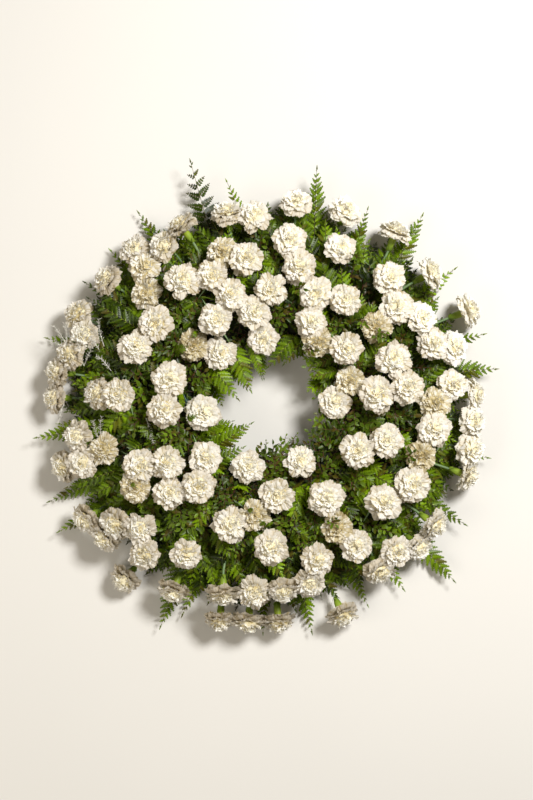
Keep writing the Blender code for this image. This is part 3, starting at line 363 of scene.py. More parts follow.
class Blade:
    """A thin arched blade cut to its rib into pairs of leaflets: a frond or a sprig."""

    def __init__(self, control, half_width, pairs, bare, blunt=0.0):
        self.control, self.half_width, self.pairs = control, half_width, pairs
        self.bare, self.blunt = bare, blunt
        self.step = (1 - bare) / (pairs + 0.6)  # from one pair of leaflets to the next, along the rib

    def widened(self, share):
        return Blade(self.control, self.half_width * share, self.pairs, self.bare, self.blunt)

    def frame(self, t):
        ahead = curve(self.control, min(1, t + 0.02)) - curve(self.control, max(0, t - 0.02))
        along = unit(ahead)
        side = unit(np.cross(along, (0, 0, 1)))
        return curve(self.control, t), side, np.cross(side, along)

    def leaflet_tips(self):
        """For each pair, the ends of its left and right leaflets."""
        tips = []
        for k in range(self.pairs):
            share = k / self.pairs
            width = self.half_width * (1 - share**1.5) * (0.82 if k == 0 else 1)
            t = min(0.99, self.bare + (k + 0.85 - 0.2 * self.blunt) * self.step)
            place, side, normal = self.frame(t)
            lower = normal * (-BLADE_DROOP * width)
            tips.append((place - side * width + lower, place + side * width + lower))
        return tips

    def leaflet_points(self):
        """The tips of the leaflets, and three rows of points along them."""
        tips = np.array(self.leaflet_tips()).reshape(-1, 3)
        roots = [self.frame(self.bare + (k + 0.5) * self.step)[0] for k in range(self.pairs)]
        roots = np.repeat(roots, 2, axis=0)
        return tips, [tips, roots + 0.7 * (tips - roots), roots + 0.4 * (tips - roots)]

    def samples(self):
        """Points all along the rib, for finding a clear way."""
        return curve_points(self.control, 20, 0.12)

    def all_points(self):
        return np.concatenate([self.samples()] + self.leaflet_points()[1])


def sector_of(point):
    return int(ring_angle(point) / SECTOR_TURN) % SECTORS


def clamped_angle(angle, sector, margin):
    """The nearest angle that keeps a margin, in metres on the moss, to the sides of a sector."""
    middle = (sector + 0.5) * SECTOR_TURN
    off = (angle - middle + pi) % (2 * pi) - pi
    limit = SECTOR_TURN / 2 - margin / MARGIN_RADIUS
    return middle + max(-limit, min(limit, off))


def strays(points, sector):
    """Whether any of these points lies outside its sector while it is still down at the moss."""
    low = points[points[:, 2] < FOAM_TOP + MOSS_THICK + STRAY_MARGIN]
    offs = [clamped_angle(ring_angle(p), sector, STRAY_MARGIN) - ring_angle(p) for p in low]
    return any(abs((off + pi) % (2 * pi) - pi) > ALIKE for off in offs)


def moss_root(angle, radius):
    """A point just inside the moss, nearest to the radius that is wanted."""
    inner, outer = TRAY_INNER + BED_EDGE, TRAY_OUTER - BED_EDGE
    if radius > outer + RIM_ROOT:
        return ring_point(angle, TRAY_OUTER - RIM_ROOT_OUT, RIM_ROOT_HEIGHT)
    if radius < inner - HOLE_ROOT:
        return ring_point(angle, TRAY_INNER + HOLE_ROOT_IN, HOLE_ROOT_HEIGHT)
    return ring_point(angle, min(outer, max(inner, radius)), FOAM_TOP + 0.5 * MOSS_THICK)


def moss_outline():
    """The section of the thin bed of greens that wraps the foam: radius and height of each corner."""
    inner, outer = TRAY_INNER + TRAY_WALL + GAP, TRAY_OUTER - TRAY_WALL - GAP
    share = (MOSS_FOOT - TRAY_FLOOR) / (FOAM_TOP - TRAY_FLOOR)
    lean = FOAM_LEAN * share
    top = FOAM_TOP + GAP
    return [
        (inner + lean - GAP, MOSS_FOOT), (inner + FOAM_LEAN - GAP, top),
        (outer - FOAM_LEAN + GAP, top), (outer - lean + GAP, MOSS_FOOT),
        (outer - lean + GAP + MOSS_THICK, MOSS_FOOT), (outer - FOAM_LEAN + MOSS_THICK, top + MOSS_THICK),
        (inner + FOAM_LEAN - MOSS_THICK, top + MOSS_THICK), (inner + lean - GAP - MOSS_THICK, MOSS_FOOT),
    ]


class Stems:
    """A stem with its calyx for each head, bent clear of the other heads on its way to the moss."""

    def __init__(self, blooms):
        self.blooms = blooms
        self.paths, self.sectors, self.roots = [], [], []
        for k in range(len(blooms.radii)):
            self.route(k)
        lines = [curve_points(p, 13) for p in self.paths]
        self.standing = list(zip(lines, self.sectors))

    def calyx_ends(self, k):
        blooms = self.blooms
        back = blooms.centres[k] + blooms.axes[k] * (HEAD_BACK * blooms.radii[k] - GAP)
        return back, back - blooms.axes[k] * CALYX_LENGTH

    def route(self, k):
        axis = self.blooms.axes[k]
        _, start = self.calyx_ends(k)
        sector = sector_of(start)
        best = None
        for swing in STEM_SWINGS:
            for shift in STEM_SHIFTS:
                angle = clamped_angle(ring_angle(start) + radians(swing), sector, STEM_MARGIN)
                root = moss_root(angle, ring_radius(start) + shift * MM)
                length = np.linalg.norm(root - start)
                arrive = unit(root - ring_point(angle, BED_MIDDLE, STEMS_MEET))
                control = (
                    start, start - axis * STEM_LEAVES * length, root + arrive * STEM_ARRIVES * length, root
                )
                line = curve_points(control, 9, 0.1, 0.9)
                clear = self.blooms.gap_at(line, leave_out=(k,)).min() - STEM_RADIUS
                apart = min((np.linalg.norm(root - other) for other in self.roots), default=FAR)
                score = min(clear, ROOM_WANTED) * ROOM_COUNTS - LENGTH_COSTS * length
                score += APART_COUNTS * min(apart, ROOTS_APART)
                if best is None or score > best[0]:
                    best = (score, control, root)
        self.paths.append(best[1])
        self.roots.append(best[2])
        self.sectors.append(sector)

    def gap_at(self, points, sector):
        """How far each point is from the nearest stem or blade of any other sector."""
        lines = [line for line, own in self.standing if own != sector]
        others = np.concatenate(lines)
        return np.linalg.norm(points[:, None] - others[None], axis=2).min(axis=1) - STAND_OFF


def fit_blade(make, blooms, stems, sector, options):
    """The first of several blades that is clear, or else the one with most room."""
    best = None
    for option in options:
        blade = make(*option)
        line = blade.samples()
        room = min(blooms.gap_at(line).min(), stems.gap_at(line, sector).min())
        tips, places = blade.leaflet_points()
        gaps = [np.minimum(blooms.gap_at(spots), stems.gap_at(spots, sector)) for spots in places]
        clear = (np.min(gaps, axis=0) > BLADE_CLEAR) & (tips[:, 2] > LEAST_TIP)
        score = min(room, BLADE_CLEAR) * 1000 + 0.1 * clear.sum()
        if best is None or score > best[0] + ALIKE:
            best = (score, blade)
    return best[1]


def frond_blades(blooms, stems):
    """Every frond, with its sector."""
    found = []
    for row in FRONDS:
        tip = photo_point(row[0], row[1], row[5] * MM)
        base = photo_point(row[2], row[3], FOAM_TOP + MOSS_THICK + 1 * MM)
        over_hole = ring_radius(tip) < TRAY_INNER
        sector = sector_of(base)
        angle = clamped_angle(ring_angle(base), sector, FROND_MARGIN)
        root = moss_root(angle, ring_radius(base) if over_hole else ring_radius(base) + 40 * MM)
        across = unit(np.cross(tip - root, (0, 0, 1)))

        def make(height, swing):
            middle = 0.5 * (root + tip) + across * swing * MM
            middle[2] = height * MM
            control = (root, root * 0.55 + middle * 0.45, middle * 0.75 + tip * 0.25, tip)
            pairs = HOLE_FROND_PAIRS if over_hole else FROND_PAIRS
            return Blade(control, row[4] * PHOTO_PIXEL, pairs, 0.2 if over_hole else 0.34)

        options = [(h, s) for s in FROND_SWINGS for h in FROND_HEIGHTS]
        blade = fit_blade(make, blooms, stems, sector, options)
        found.append((sector, blade))
        stems.standing.append((blade.all_points(), sector))
    return found


def in_sight(points, blooms):
    """How many of these points no head hides from above."""
    across = np.linalg.norm(points[:, None, :2] - blooms.centres[None, :, :2], axis=2)
    hidden = (across < 0.9 * blooms.radii) & (points[:, None, 2] < blooms.centres[None, :, 2])
    return int((~hidden.any(axis=1)).sum())


def sprig_choices(sector):
    """Every arching way that a sprig of this sector might take: up out of the moss and over to one side."""
    rise = np.array([0, 0, SPRIG_RISE])
    for share in SPRIG_SHARES:
        for radius in SPRIG_RADII:
            root = moss_root(clamped_angle((sector + share) * SECTOR_TURN, sector, SPRIG_MARGIN), radius * MM)
            for turn in range(SPRIG_TURNS):
                heading = np.array([cos(turn * 2 * pi / SPRIG_TURNS), sin(turn * 2 * pi / SPRIG_TURNS), 0])
                tip = root + SPRIG_LENGTH * heading + rise
                yield root, root + 0.8 * rise, tip - 0.5 * SPRIG_LENGTH * heading, tip


def sprig_blades(blooms, stems):
    """The sprigs of each sector that show best between the heads and touch none of them."""
    found = []
    for sector in range(SECTORS):
        fitting = []
        for control in sprig_choices(sector):
            for half in SPRIG_WIDTHS:
                blade = Blade(control, half * MM, SPRIG_PAIRS, 0.34, 1.0)
                points = np.concatenate([blade.samples()[6:]] + blade.leaflet_points()[1][:2])
                shown = in_sight(points, blooms)
                if shown < SPRIG_SHOWN * len(points):
                    break
                if strays(blade.all_points(), sector):
                    continue
                gaps = np.minimum(blooms.gap_at(points), stems.gap_at(points, sector))
                if gaps.min() > BLADE_CLEAR:
                    fitting.append((-shown * half, len(fitting), blade))
                    break
        chosen = []
        for _, _, blade in sorted(fitting, key=lambda item: item[:2]):
            apart = [np.linalg.norm(blade.control[3] - other.control[3]) for other in chosen]
            if min(apart, default=FAR) > SPRIG_SPACING and len(chosen) < SPRIGS_IN_SECTOR:
                chosen.append(blade)
        for blade in chosen:
            found.append((sector, blade))
            stems.standing.append((np.concatenate([blade.samples(), blade.leaflet_points()[0]]), sector))
    return found


@lru_cache(maxsize=None)
def layout():
    """The places of all heads, stems, fronds and sprigs, found by the same rules as the solids' own."""
    blooms = Blooms()
    stems = Stems(blooms)
    fronds = frond_blades(blooms, stems)
    sprigs = sprig_blades(blooms, stems)
    return blooms, stems, fronds, sprigs


class Gathered:
    """Points, triangles, shade values and material slots of one piece, gathered from many small shapes."""

    def __init__(self):
        self.points, self.faces, self.shades, self.slots, self.soft = [], [], [], [], []
        self.count = 0

    def add(self, points, faces, shades, slot=0, smooth=True):
        self.points.append(points)
        self.faces.append(faces + self.count)
        self.shades.append(np.broadcast_to(shades, (len(points), 3)))
        self.slots.append(np.full(len(faces), slot))
        self.soft.append(np.full(len(faces), smooth))
        self.count += len(points)

    def joined(self):
        """All points, triangles and shade values, as three arrays."""
        return [np.concatenate(part) for part in (self.points, self.faces, self.shades)]

    def piece(self, name, materials, body_slot, *nodes):
        """A mesh object of all that was gathered, riding on the body in place of the nodes."""
        points, faces, shades = self.joined()
        points[:, 2] = np.maximum(points[:, 2], LOWEST + SAG_SHARE * np.minimum(points[:, 2] - LOWEST, 0))
        mesh = bpy.data.meshes.new(name)
        mesh.vertices.add(len(points))
        mesh.vertices.foreach_set("co", points.astype(np.float32).ravel())
        mesh.loops.add(faces.size)
        mesh.loops.foreach_set("vertex_index", faces.astype(np.int32).ravel())
        mesh.polygons.add(len(faces))
        mesh.polygons.foreach_set("loop_start", np.arange(0, faces.size, 3, dtype=np.int32))
        for material in materials:
            mesh.materials.append(material)
        mesh.polygons.foreach_set("material_index", np.concatenate(self.slots).astype(np.int32))
        mesh.polygons.foreach_set("use_smooth", np.concatenate(self.soft))
        shade = mesh.attributes.new("shade", "FLOAT_VECTOR", "POINT")
        shade.data.foreach_set("vector", shades.astype(np.float32).ravel())
        mesh.update(calc_edges=True)
        obj = bpy.data.objects.new(name, mesh)
        bpy.context.scene.collection.objects.link(obj)
        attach(obj, BODY)
        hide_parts(*nodes)


def in_parts(name, finishes):
    """For each part of the ring, its number and a gathering, which is made into a piece once it is filled."""
    for sector in range(SECTORS):
        gathered = Gathered()
        yield sector, gathered
        gathered.piece(f"{name}_{sector + 1:02d}", finishes, "greens", f"greens_{sector + 1:02d}")


def in_axes(points, origin, x, y, z):
    """Points given along three axes, put in place."""
    return origin + points[:, :1] * x + points[:, 1:2] * y + points[:, 2:3] * z


@lru_cache(maxsize=None)
def grid_faces(columns, rows, closed=False):
    """Triangles of a grid whose points run along each row in turn."""
    across = columns if closed else columns + 1
    faces = []
    for r in range(rows):
        for c in range(columns):
            a, b = r * across + c, r * across + (c + 1) % across
            faces += [(a, b, b + across), (a, b + across, a + across)]
    return np.array(faces)


def tube(path, radii, sides):
    """Points and faces of an open tube along a path, its two ends left open."""
    path, radii = np.asarray(path), np.asarray(radii)
    ahead = np.gradient(path, axis=0)
    ahead /= np.linalg.norm(ahead, axis=1)[:, None]
    side = frame_of(ahead[0])[0]
    rings = []
    for place, along, radius in zip(path, ahead, radii):
        side = unit(side - along * (side @ along))
        other = np.cross(along, side)
        turns = 2 * pi * np.arange(sides) / sides
        rings.append(place + radius * (np.cos(turns)[:, None] * side + np.sin(turns)[:, None] * other))
    return np.concatenate(rings), grid_faces(sides, len(path) - 1, closed=True)


def add_ribbon(gathered, rib, across, half_width, shade):
    """A slender leaf along its midrib, tapering to a point, its halves raised into a shallow V."""
    rib = np.array(rib)
    shares = np.linspace(0, 1, len(rib))
    width = (np.minimum(1, 0.5 + 4 * shares) * (1 - shares**2.5) + 0.03)[:, None] * half_width
    raised = 0.4 * width * unit(np.cross(across, rib[-1] - rib[0]))
    edges = [rib - across * width + raised, rib, rib + across * width + raised]
    gathered.add(np.stack(edges, axis=1).reshape(-1, 3), grid_faces(2, len(rib) - 1), shade)


def leaf_shades(tones, tone_and_shade, each):
    """Shade values for one leaf's points: its tones, how light it is with any painted shade, how it differs
    from others.
    """
    return np.stack([tones, np.full(len(tones), tone_and_shade), np.full(len(tones), each)], axis=1)


# Carnation heads.

# Each ring of broad petals from the outside in: how many, where their edges stand out from the axis and up
# it, where they bend on the way there, half their width, how deep their edges ruffle and how unevenly they
# stand, all in head radii, then the waves across each petal and its grid.
PETAL_RINGS = (
    (6, 1.05, -0.24, 0.66, 0.16, 0.52, 0.052, 0.09, 2.4, 18, 4),
    (7, 1.00, 0.06, 0.52, 0.26, 0.44, 0.062, 0.12, 2.2, 16, 4),
    (7, 0.80, 0.27, 0.38, 0.33, 0.38, 0.090, 0.12, 2.1, 14, 4),
    (6, 0.56, 0.42, 0.26, 0.42, 0.32, 0.105, 0.11, 1.9, 12, 3),
)
# The lowest ring arches back over the calyx of a head that leans so far that its back shows.
SKIRT_RING = (7, 0.99, -0.38, 0.66, 0.00, 0.54, 0.050, 0.07, 2.2, 12, 3)
SKIRT_TILT = 35  # degrees
# A petal is a fan: how much its edge falls off at the sides, how steeply, and how much it waves.
FAN_FALL, FAN_POWER, FAN_WAVE = 0.26, 2.4, 0.03
PETAL_TEETH = 0.028
PETAL_PLEATS = 0.014  # the height of the fine ribs that fan out over a petal
PETAL_RIBS = 0.60  # the height of the broader ribs, as a share of the ruffles'
PETAL_THROUGH = 0.27  # the share of light that passes through a petal
PETAL_FOOT = 0.16  # the width of a petal's foot, as a share of its widest
LEAST_CURL = 0.50  # the tightest curl of a petal round the head's axis, in head radii
HEAD_KINDS = 14
HEAD_SEED, SKIRT_SEED, BUNCH_SEED = 200, 300, 31
# Heads deep between others are painted warmer, darker and flatter in tone, a painted shade; those that
# lean towards the key light's side are painted whiter, a painted light; each is a little lighter or darker
# than the next.
DEEPEST = 26  # mm below the crown
DEEP_SHADE_WARM, DEEP_SHADE_FLAT, DEEP_SHADE_DARK = 0.3, 0.36, 0.11
LIT_SIDE, LIT_SHARE, LIT_LIGHT = np.array((0.94, 0.34, 0)), 0.5, 0.3
HEAD_VARIES = 0.06
# Folded petals stand close together in the heart: how many, how far out and high they reach, the half width
# of each and how deep it folds, and its grid.
TUFT_PETALS, TUFT_OUT, TUFT_UP = 18, 0.45, 0.63
TUFT_HALF, TUFT_FOLD, TUFT_COLUMNS, TUFT_ROWS = 0.25, 0.070, 10, 3
TUFT_LENGTH, TUFT_WAVES = 0.42, 1.9
# Under them the petals' feet make one crinkled dome: its width, its foot, its top and how it is crinkled.
HEART_OUT, HEART_FOOT, HEART_TOP, HEART_FOLDS = 0.58, 0.06, 0.47, 0.05
HEART_TURNS, HEART_ROWS = 20, 5


def fan_outline(rng, columns, rows):
    """The grid of a petal: across it, along it, and along it as its toothed round edge cuts it."""
    u = np.linspace(-1, 1, columns + 1)
    v = np.linspace(0, 1, rows + 1) ** 0.8
    u, v = [g.T for g in np.meshgrid(u, v, indexing="ij")]
    waves = FAN_WAVE * np.sin(pi * rng.uniform(1.5, 2.5) * u + rng.uniform(0, 6))
    along = v * (1 - FAN_FALL * np.abs(u) ** FAN_POWER + waves)
    along[-1] += PETAL_TEETH * every_other(columns + 1) * rng.uniform(0.2, 1.5, columns + 1)
    return u, v, along


def every_other(count):
    """1 and -1 in turn, for the teeth and pleats across a petal."""
    return np.where(np.arange(count) % 2, -1, 1)


def ruffled(rng, u, v, waves):
    """How far a petal's ruffles lift it, from -1 to 1 at its edge: some broad waves and some fine ones."""
    first, second = rng.uniform(0, 2 * pi, 2)
    folds = np.sin(0.8 * pi * waves * rng.uniform(0.8, 1.2) * u + first)
    return 0.75 * folds * v**1.6 + PETAL_RIBS * np.sin(2.3 * pi * waves * u + second) * v


def petal_shades(rng, v, heart, ruffles):
    """For each point: how far along the petal, how near the heart, and how high it stands in the folds."""
    # The third value sets the painted shade of the folds: lower in the ruffles' hollows and on every other
    # grid  line, a painted shade along the fine pleats.
    pleat_shade = -0.35 * every_other(v.shape[1])
    ridge = 0.62 + 0.08 * heart + rng.uniform(-0.12, 0.12) + 0.34 * (ruffles + pleat_shade) * np.minimum(1, 2 * v)
    return np.stack([v, np.full_like(v, heart), ridge], axis=2).reshape(-1, 3)


def petal(rng, ring, heart, turn):
    """One broad petal about the head's axis, in head radii: its points, their triangles and their shades."""
    _, out, up, bend_out, bend_up, half_width, ruffle, uneven, waves, columns, rows = ring
    out += uneven * rng.uniform(-1.3, 0.4)
    up += uneven * rng.uniform(-1.0, 0.9)
    bend_up += uneven * rng.uniform(-1.0, 1.0)
    half_width *= rng.uniform(0.82, 1.18)
    u, v, along = fan_outline(rng, columns, rows)
    start = np.array([0.05 + 0.14 * out, HEAD_BACK])
    bend, tip = np.array([bend_out, bend_up]), np.array([out, up])
    t = along[..., None]
    path = (1 - t) ** 2 * start + 2 * t * (1 - t) * bend + t**2 * tip
    slope = 2 * (1 - t) * (bend - start) + 2 * t * (tip - bend)
    slope /= np.linalg.norm(slope, axis=2)[..., None]
    width = half_width * (PETAL_FOOT + (1 - PETAL_FOOT) * np.clip(v, 0, 1) ** 1.1)
    ruffles = ruffled(rng, u, v, waves)
    lift = ruffle * ruffles + uneven * rng.normal(0, 0.8) * u * v
    lift -= PETAL_PLEATS * every_other(columns + 1) * v
    # The blade curls round the axis, more tightly near it.
    curl = np.maximum(path[..., 0], LEAST_CURL)
    swing = np.clip(width * u / curl, -1.5, 1.5)
    radial = path[..., 0] - curl * (1 - np.cos(swing)) - lift * slope[..., 1]
    sideways = curl * np.sin(swing)
    height = path[..., 1] + lift * slope[..., 0]
    x = radial * cos(turn) - sideways * sin(turn)
    y = radial * sin(turn) + sideways * cos(turn)
    points = np.stack([x, y, height], axis=2).reshape(-1, 3)
    return points, grid_faces(columns, rows), petal_shades(rng, v, heart, ruffles)


def tuft_petal(rng, number):
    """One folded petal of the heart, in head radii: its points, their triangles and their shades."""
    share = sqrt((number + 0.5) / TUFT_PETALS)
    turn = number * pi * (3 - sqrt(5)) + rng.uniform(-0.3, 0.3)
    outward = np.array([cos(turn), sin(turn), 0])
    lean = radians(8 + 50 * share + rng.uniform(-14, 14))
    ahead = unit(outward * sin(lean) + (0, 0, cos(lean)))
    side, other = frame_of(ahead)
    facing = atan2(outward @ other, outward @ side) + pi / 2 + rng.normal(0, 0.75)
    across = cos(facing) * side + sin(facing) * other
    face = np.cross(ahead, across)
    height = TUFT_UP - 0.24 * share**2 + rng.uniform(-0.06, 0.04)
    tip = outward * TUFT_OUT * share + (0, 0, height)
    u, v, along = fan_outline(rng, TUFT_COLUMNS, TUFT_ROWS)
    width = TUFT_HALF * rng.uniform(0.8, 1.2) * (0.25 + 0.75 * v)
    ruffles = ruffled(rng, u, v, TUFT_WAVES)
    lift = TUFT_FOLD * ruffles + 0.12 * u * v * rng.normal(0, 1) - 0.10 * (1 - u**2) * v
    points = tip + ((along - 1) * TUFT_LENGTH)[..., None] * ahead
    points = points + (width * u)[..., None] * across + lift[..., None] * face
    return points.reshape(-1, 3), grid_faces(TUFT_COLUMNS, TUFT_ROWS), petal_shades(rng, v, 1.0, ruffles)


def crinkled_heart(rng):
    """The dome of petals' feet in the middle of a head, in head radii: points, triangles and shades."""
    turns = 2 * pi * np.arange(HEART_TURNS) / HEART_TURNS
    rows = []
    for share in np.linspace(0.02, 1, HEART_ROWS):
        folds = np.sin(7 * turns + 9 * share + rng.uniform(0, 6)) + rng.normal(0, 0.5, HEART_TURNS)
        out = HEART_OUT * share * (1 + 0.10 * folds * share)
        up = HEART_FOOT + (HEART_TOP - HEART_FOOT) * np.sqrt(1 - share**2)
        up += HEART_FOLDS * folds * (1.1 - share)
        rows.append(np.stack([out * np.cos(turns), out * np.sin(turns), up], axis=1))
    points = np.concatenate(rows[::-1])
    faces = grid_faces(HEART_TURNS, HEART_ROWS - 1, closed=True)
    count = len(points)
    # The third value is random over the dome, a painted shade of its crinkles.
    shades = np.stack([np.full(count, 0.3), np.ones(count), rng.uniform(0.2, 0.8, count)], axis=1)
    return points, faces, shades


@lru_cache(maxsize=None)
def head_kinds(ruffle_share):
    """A few different heads, each as arrays of points, triangles and shades in head radii."""
    kinds = []
    for kind in range(HEAD_KINDS):
        rng = np.random.default_rng(HEAD_SEED + kind)
        head = Gathered()
        head.add(*crinkled_heart(rng))
        broad = rng.uniform(0.82, 1.15)
        for level, ring in enumerate(PETAL_RINGS):
            ring = (*ring[:5], ring[5] * broad, ring[6] * ruffle_share, *ring[7:])
            phase = rng.uniform(0, 2 * pi)
            for k in range(ring[0]):
                turn = phase + 2 * pi * (k + rng.uniform(-0.22, 0.22)) / ring[0]
                head.add(*petal(rng, ring, level / len(PETAL_RINGS), turn))
        for number in range(TUFT_PETALS):
            head.add(*tuft_petal(rng, number))
        kinds.append(head.joined())
    return kinds


@lru_cache(maxsize=None)
def skirt_kinds(ruffle_share):
    """The lowest petals of as many leaning heads, each as arrays of points, triangles and shades."""
    kinds = []
    ring = (*SKIRT_RING[:6], SKIRT_RING[6] * ruffle_share, *SKIRT_RING[7:])
    for kind in range(HEAD_KINDS):
        rng = np.random.default_rng(SKIRT_SEED + kind)
        skirt = Gathered()
        for k in range(ring[0]):
            skirt.add(*petal(rng, ring, 0, 2 * pi * (k + rng.uniform(-0.2, 0.2)) / ring[0]))
        kinds.append(skirt.joined())
    return kinds


def head_tone(blooms, k, rng):
    """What a head's three shades are multiplied by, and what is then added: painted shade, painted light and
    tone.
    """
    deep = BLOOMS[k][5] / DEEPEST
    facing_light = LIT_SHARE * max(0, blooms.axes[k] @ LIT_SIDE)
    tone_light_and_shade = HEAD_VARIES * rng.uniform(-1, 1) - DEEP_SHADE_DARK * deep + LIT_LIGHT * facing_light
    return (1, 1, 1 - DEEP_SHADE_FLAT * deep), (0, DEEP_SHADE_WARM * deep + facing_light, tone_light_and_shade)


# Stems.

STEM_SEED = 41
SLENDER_SHARE = 0.45  # of the stems bear a pair of slender leaves
SLENDER_HALF, SLENDER_CLEAR = 2.1 * MM, 0.5 * MM
# The calyx from the petals down: the share of its length and the radius there in mm. It has five sepals.
CALYX_SIDES, CALYX_SECTION = 10, ((0.0, 6.6), (0.3, 7.0), (0.6, 6.2), (0.85, 4.6), (1.0, 3.0))
SEPAL_OUT, SEPAL_UP = 3.5 * MM, 6 * MM
# Small scales clasp its foot: the corners of each in mm, across, out from the axis and up along it.
SCALES, SCALE_PLACE, SCALE_OUT = 4, 1.06, 3 * MM
SCALE = np.array(((-3.2, 0, 0), (3.2, 0, 0), (2.4, 4.2, 5), (-2.4, 4.2, 5), (0, 4.6, 9))) * MM
SCALE_FACES = np.array(((0, 1, 2), (0, 2, 3), (3, 2, 4)))
STEM_SIDES, JOINT_SWELLS, JOINT_WIDTH = 7, 0.35, 0.05  # how much a joint swells, over which share of it


def add_slender_leaf(gathered, blooms, root, out, axis, rng):
    """A slender grey-green carnation leaf that leaves the stem's joint and arches away, if it finds room."""
    length = rng.uniform(38, 62) * MM
    rise = unit(axis * rng.uniform(0.5, 1.0) + (0, 0, 0.4))
    fall = (0, 0, -rng.uniform(0.15, 0.5))
    control = (root, root + rise * 0.4 * length, root + (rise * 0.6 + out * 0.5) * length,
               root + (rise * 0.5 + out * 0.9 + fall) * length)
    rib = curve_points(control, 7)
    if blooms.gap_at(rib[2:]).min() >= SLENDER_CLEAR:
        add_ribbon(gathered, rib, unit(np.cross(out, rise)), SLENDER_HALF, (1, 1, rng.uniform()))


def add_stem(stems, blooms, k, gathered, rng):
    """The calyx under a head, its five sepals spread under the petals, and the stem down to the bed."""
    axis = blooms.axes[k]
    back, start = stems.calyx_ends(k)
    side, other = frame_of(axis, rng.uniform(0, 2 * pi))
    turns = 2 * pi * np.arange(CALYX_SIDES) / CALYX_SIDES
    spread = np.cos(turns)[:, None] * side + np.sin(turns)[:, None] * other
    sepal = np.where(np.arange(CALYX_SIDES) % 2, 0.0, 1.0)[:, None]
    rows = [back + spread * (CALYX_TOP + SEPAL_OUT * sepal) + axis * (SEPAL_UP * sepal + 1 * MM)]
    for share, radius in CALYX_SECTION:
        rows.append(back + spread * radius * MM - axis * CALYX_LENGTH * share)
    shades = np.repeat(np.linspace(0, 1, len(rows)), CALYX_SIDES)[:, None] * (1, 0, 0) + (0, 0, rng.uniform())
    gathered.add(np.concatenate(rows), grid_faces(CALYX_SIDES, len(rows) - 1, closed=True), shades)
    for n in range(SCALES):
        turn = 2 * pi * (n + 0.5) / SCALES
        out, across = cos(turn) * side + sin(turn) * other, cos(turn) * other - sin(turn) * side
        foot = back - axis * CALYX_LENGTH * SCALE_PLACE + out * SCALE_OUT
        gathered.add(in_axes(SCALE, foot, across, out, axis), SCALE_FACES, (0.7, 0, rng.uniform()))
    shares = np.linspace(0, 1, 11)
    path = [curve(stems.paths[k], t) for t in shares]
    joint = rng.uniform(0.35, 0.6)
    radii = STEM_RADIUS * (1 + JOINT_SWELLS * np.exp(-(((shares - joint) / JOINT_WIDTH) ** 2)))
    tubed = tube([start + axis * 2 * MM] + path, [STEM_RADIUS, *radii], STEM_SIDES)
    gathered.add(*tubed, (1, 1, rng.uniform()))
    if rng.uniform() < SLENDER_SHARE:
        for way in (-1, 1):
            add_slender_leaf(gathered, blooms, curve(stems.paths[k], joint), way * side, axis, rng)


# Fern.

PINNA_WIDTH = 0.40  # the widest part of a side leaf, as a share of its length
PINNA_SPACING = 0.38  # the way between side leaves, as a share of half the frond's width
LEAST_SPACING, MOST_SPACING = 5 * MM, 9.5 * MM
RIB_TONE = 2.0  # marks the pale midrib in a leaf's first shade
STALK_RADIUS = 1.1 * MM
FROND_SEED = 600
FROND_LEAN = (24, 48)  # how far side leaves lean forward at the frond's foot and tip, in degrees
FROND_DROOP, OVERLAY_DROOP = 0.25, 0.1
LEAST_PINNA, PINNA_IN_HEAD = 3 * MM, 2 * MM  # shorter side leaves and those deeper in a head are left out
LONG_PINNA, SHORT_PINNA = 26 * MM, 15 * MM
PINNA_BEND, PINNA_SAG = 0.08, 0.12


@lru_cache(maxsize=None)
def fern_pinna(teeth, cut):
    """One side leaf of a frond, a unit long along X: a tapering blade with forward teeth and a pale rib."""
    points, tones, faces = [(0, 0, 0)], [0.0], []

    def half_width(x):
        return 0.5 * PINNA_WIDTH * (1 - x**1.5) ** 0.85 * min(1, 0.55 + 4 * x)

    step = 1 / (teeth + 0.6)
    for way in (-1, 1):
        last_rib, last_notch = 0, None
        for k in range(teeth):
            x = (k + 0.15) * step
            wide = half_width(x + 0.5 * step)
            notch, tooth, rib = len(points), len(points) + 1, len(points) + 2
            points += [
                (x + 0.12 * step, way * wide * (1 - cut), -0.18 * wide * (1 - cut)),
                (x + 1.02 * step, way * wide, -0.30 * wide),
                (x + step, 0, 0),
            ]
            # The blade is painted darker at its notches and teeth and lighter along its rib, a painted shade
            # across it.
            tones += [0.10 + 0.2 * x, 0.25 + 0.2 * x, 0.85]
            sheets = [(last_rib, notch, tooth), (last_rib, tooth, rib)]
            if last_notch is not None:
                sheets.append((last_rib, last_notch, notch))
            faces += [f if way < 0 else f[::-1] for f in sheets]
            last_rib, last_notch = rib, tooth
        points.append((1, 0, -0.02))
        tones.append(0.5)
        tip = (last_rib, last_notch, len(points) - 1)
        faces.append(tip if way < 0 else tip[::-1])
    start = len(points)
    points += [(0, -0.016, 0.012), (0, 0.016, 0.012), (0.86, 0, 0.012)]
    tones += [RIB_TONE] * 3
    faces.append((start, start + 2, start + 1))
    return np.array(points, float), np.array(faces), np.array(tones)


def add_pinna(
    gathered, place, ahead, across, up, length, teeth, cut, tone_and_shade, rng, bend=0.0, width=1.0, slot=0
):
    """One side leaf in its place, bent down towards its tip and a little forward."""
    shape, faces, tones = fern_pinna(teeth, cut)
    bent = shape * length
    bent[:, 1] = width * bent[:, 1] + bend * length * shape[:, 0] ** 2
    bent[:, 2] -= PINNA_SAG * length * shape[:, 0] ** 2
    shades = leaf_shades(tones, tone_and_shade, rng.uniform())
    gathered.add(in_axes(bent, place, ahead, across, up), faces, shades, slot, smooth=False)


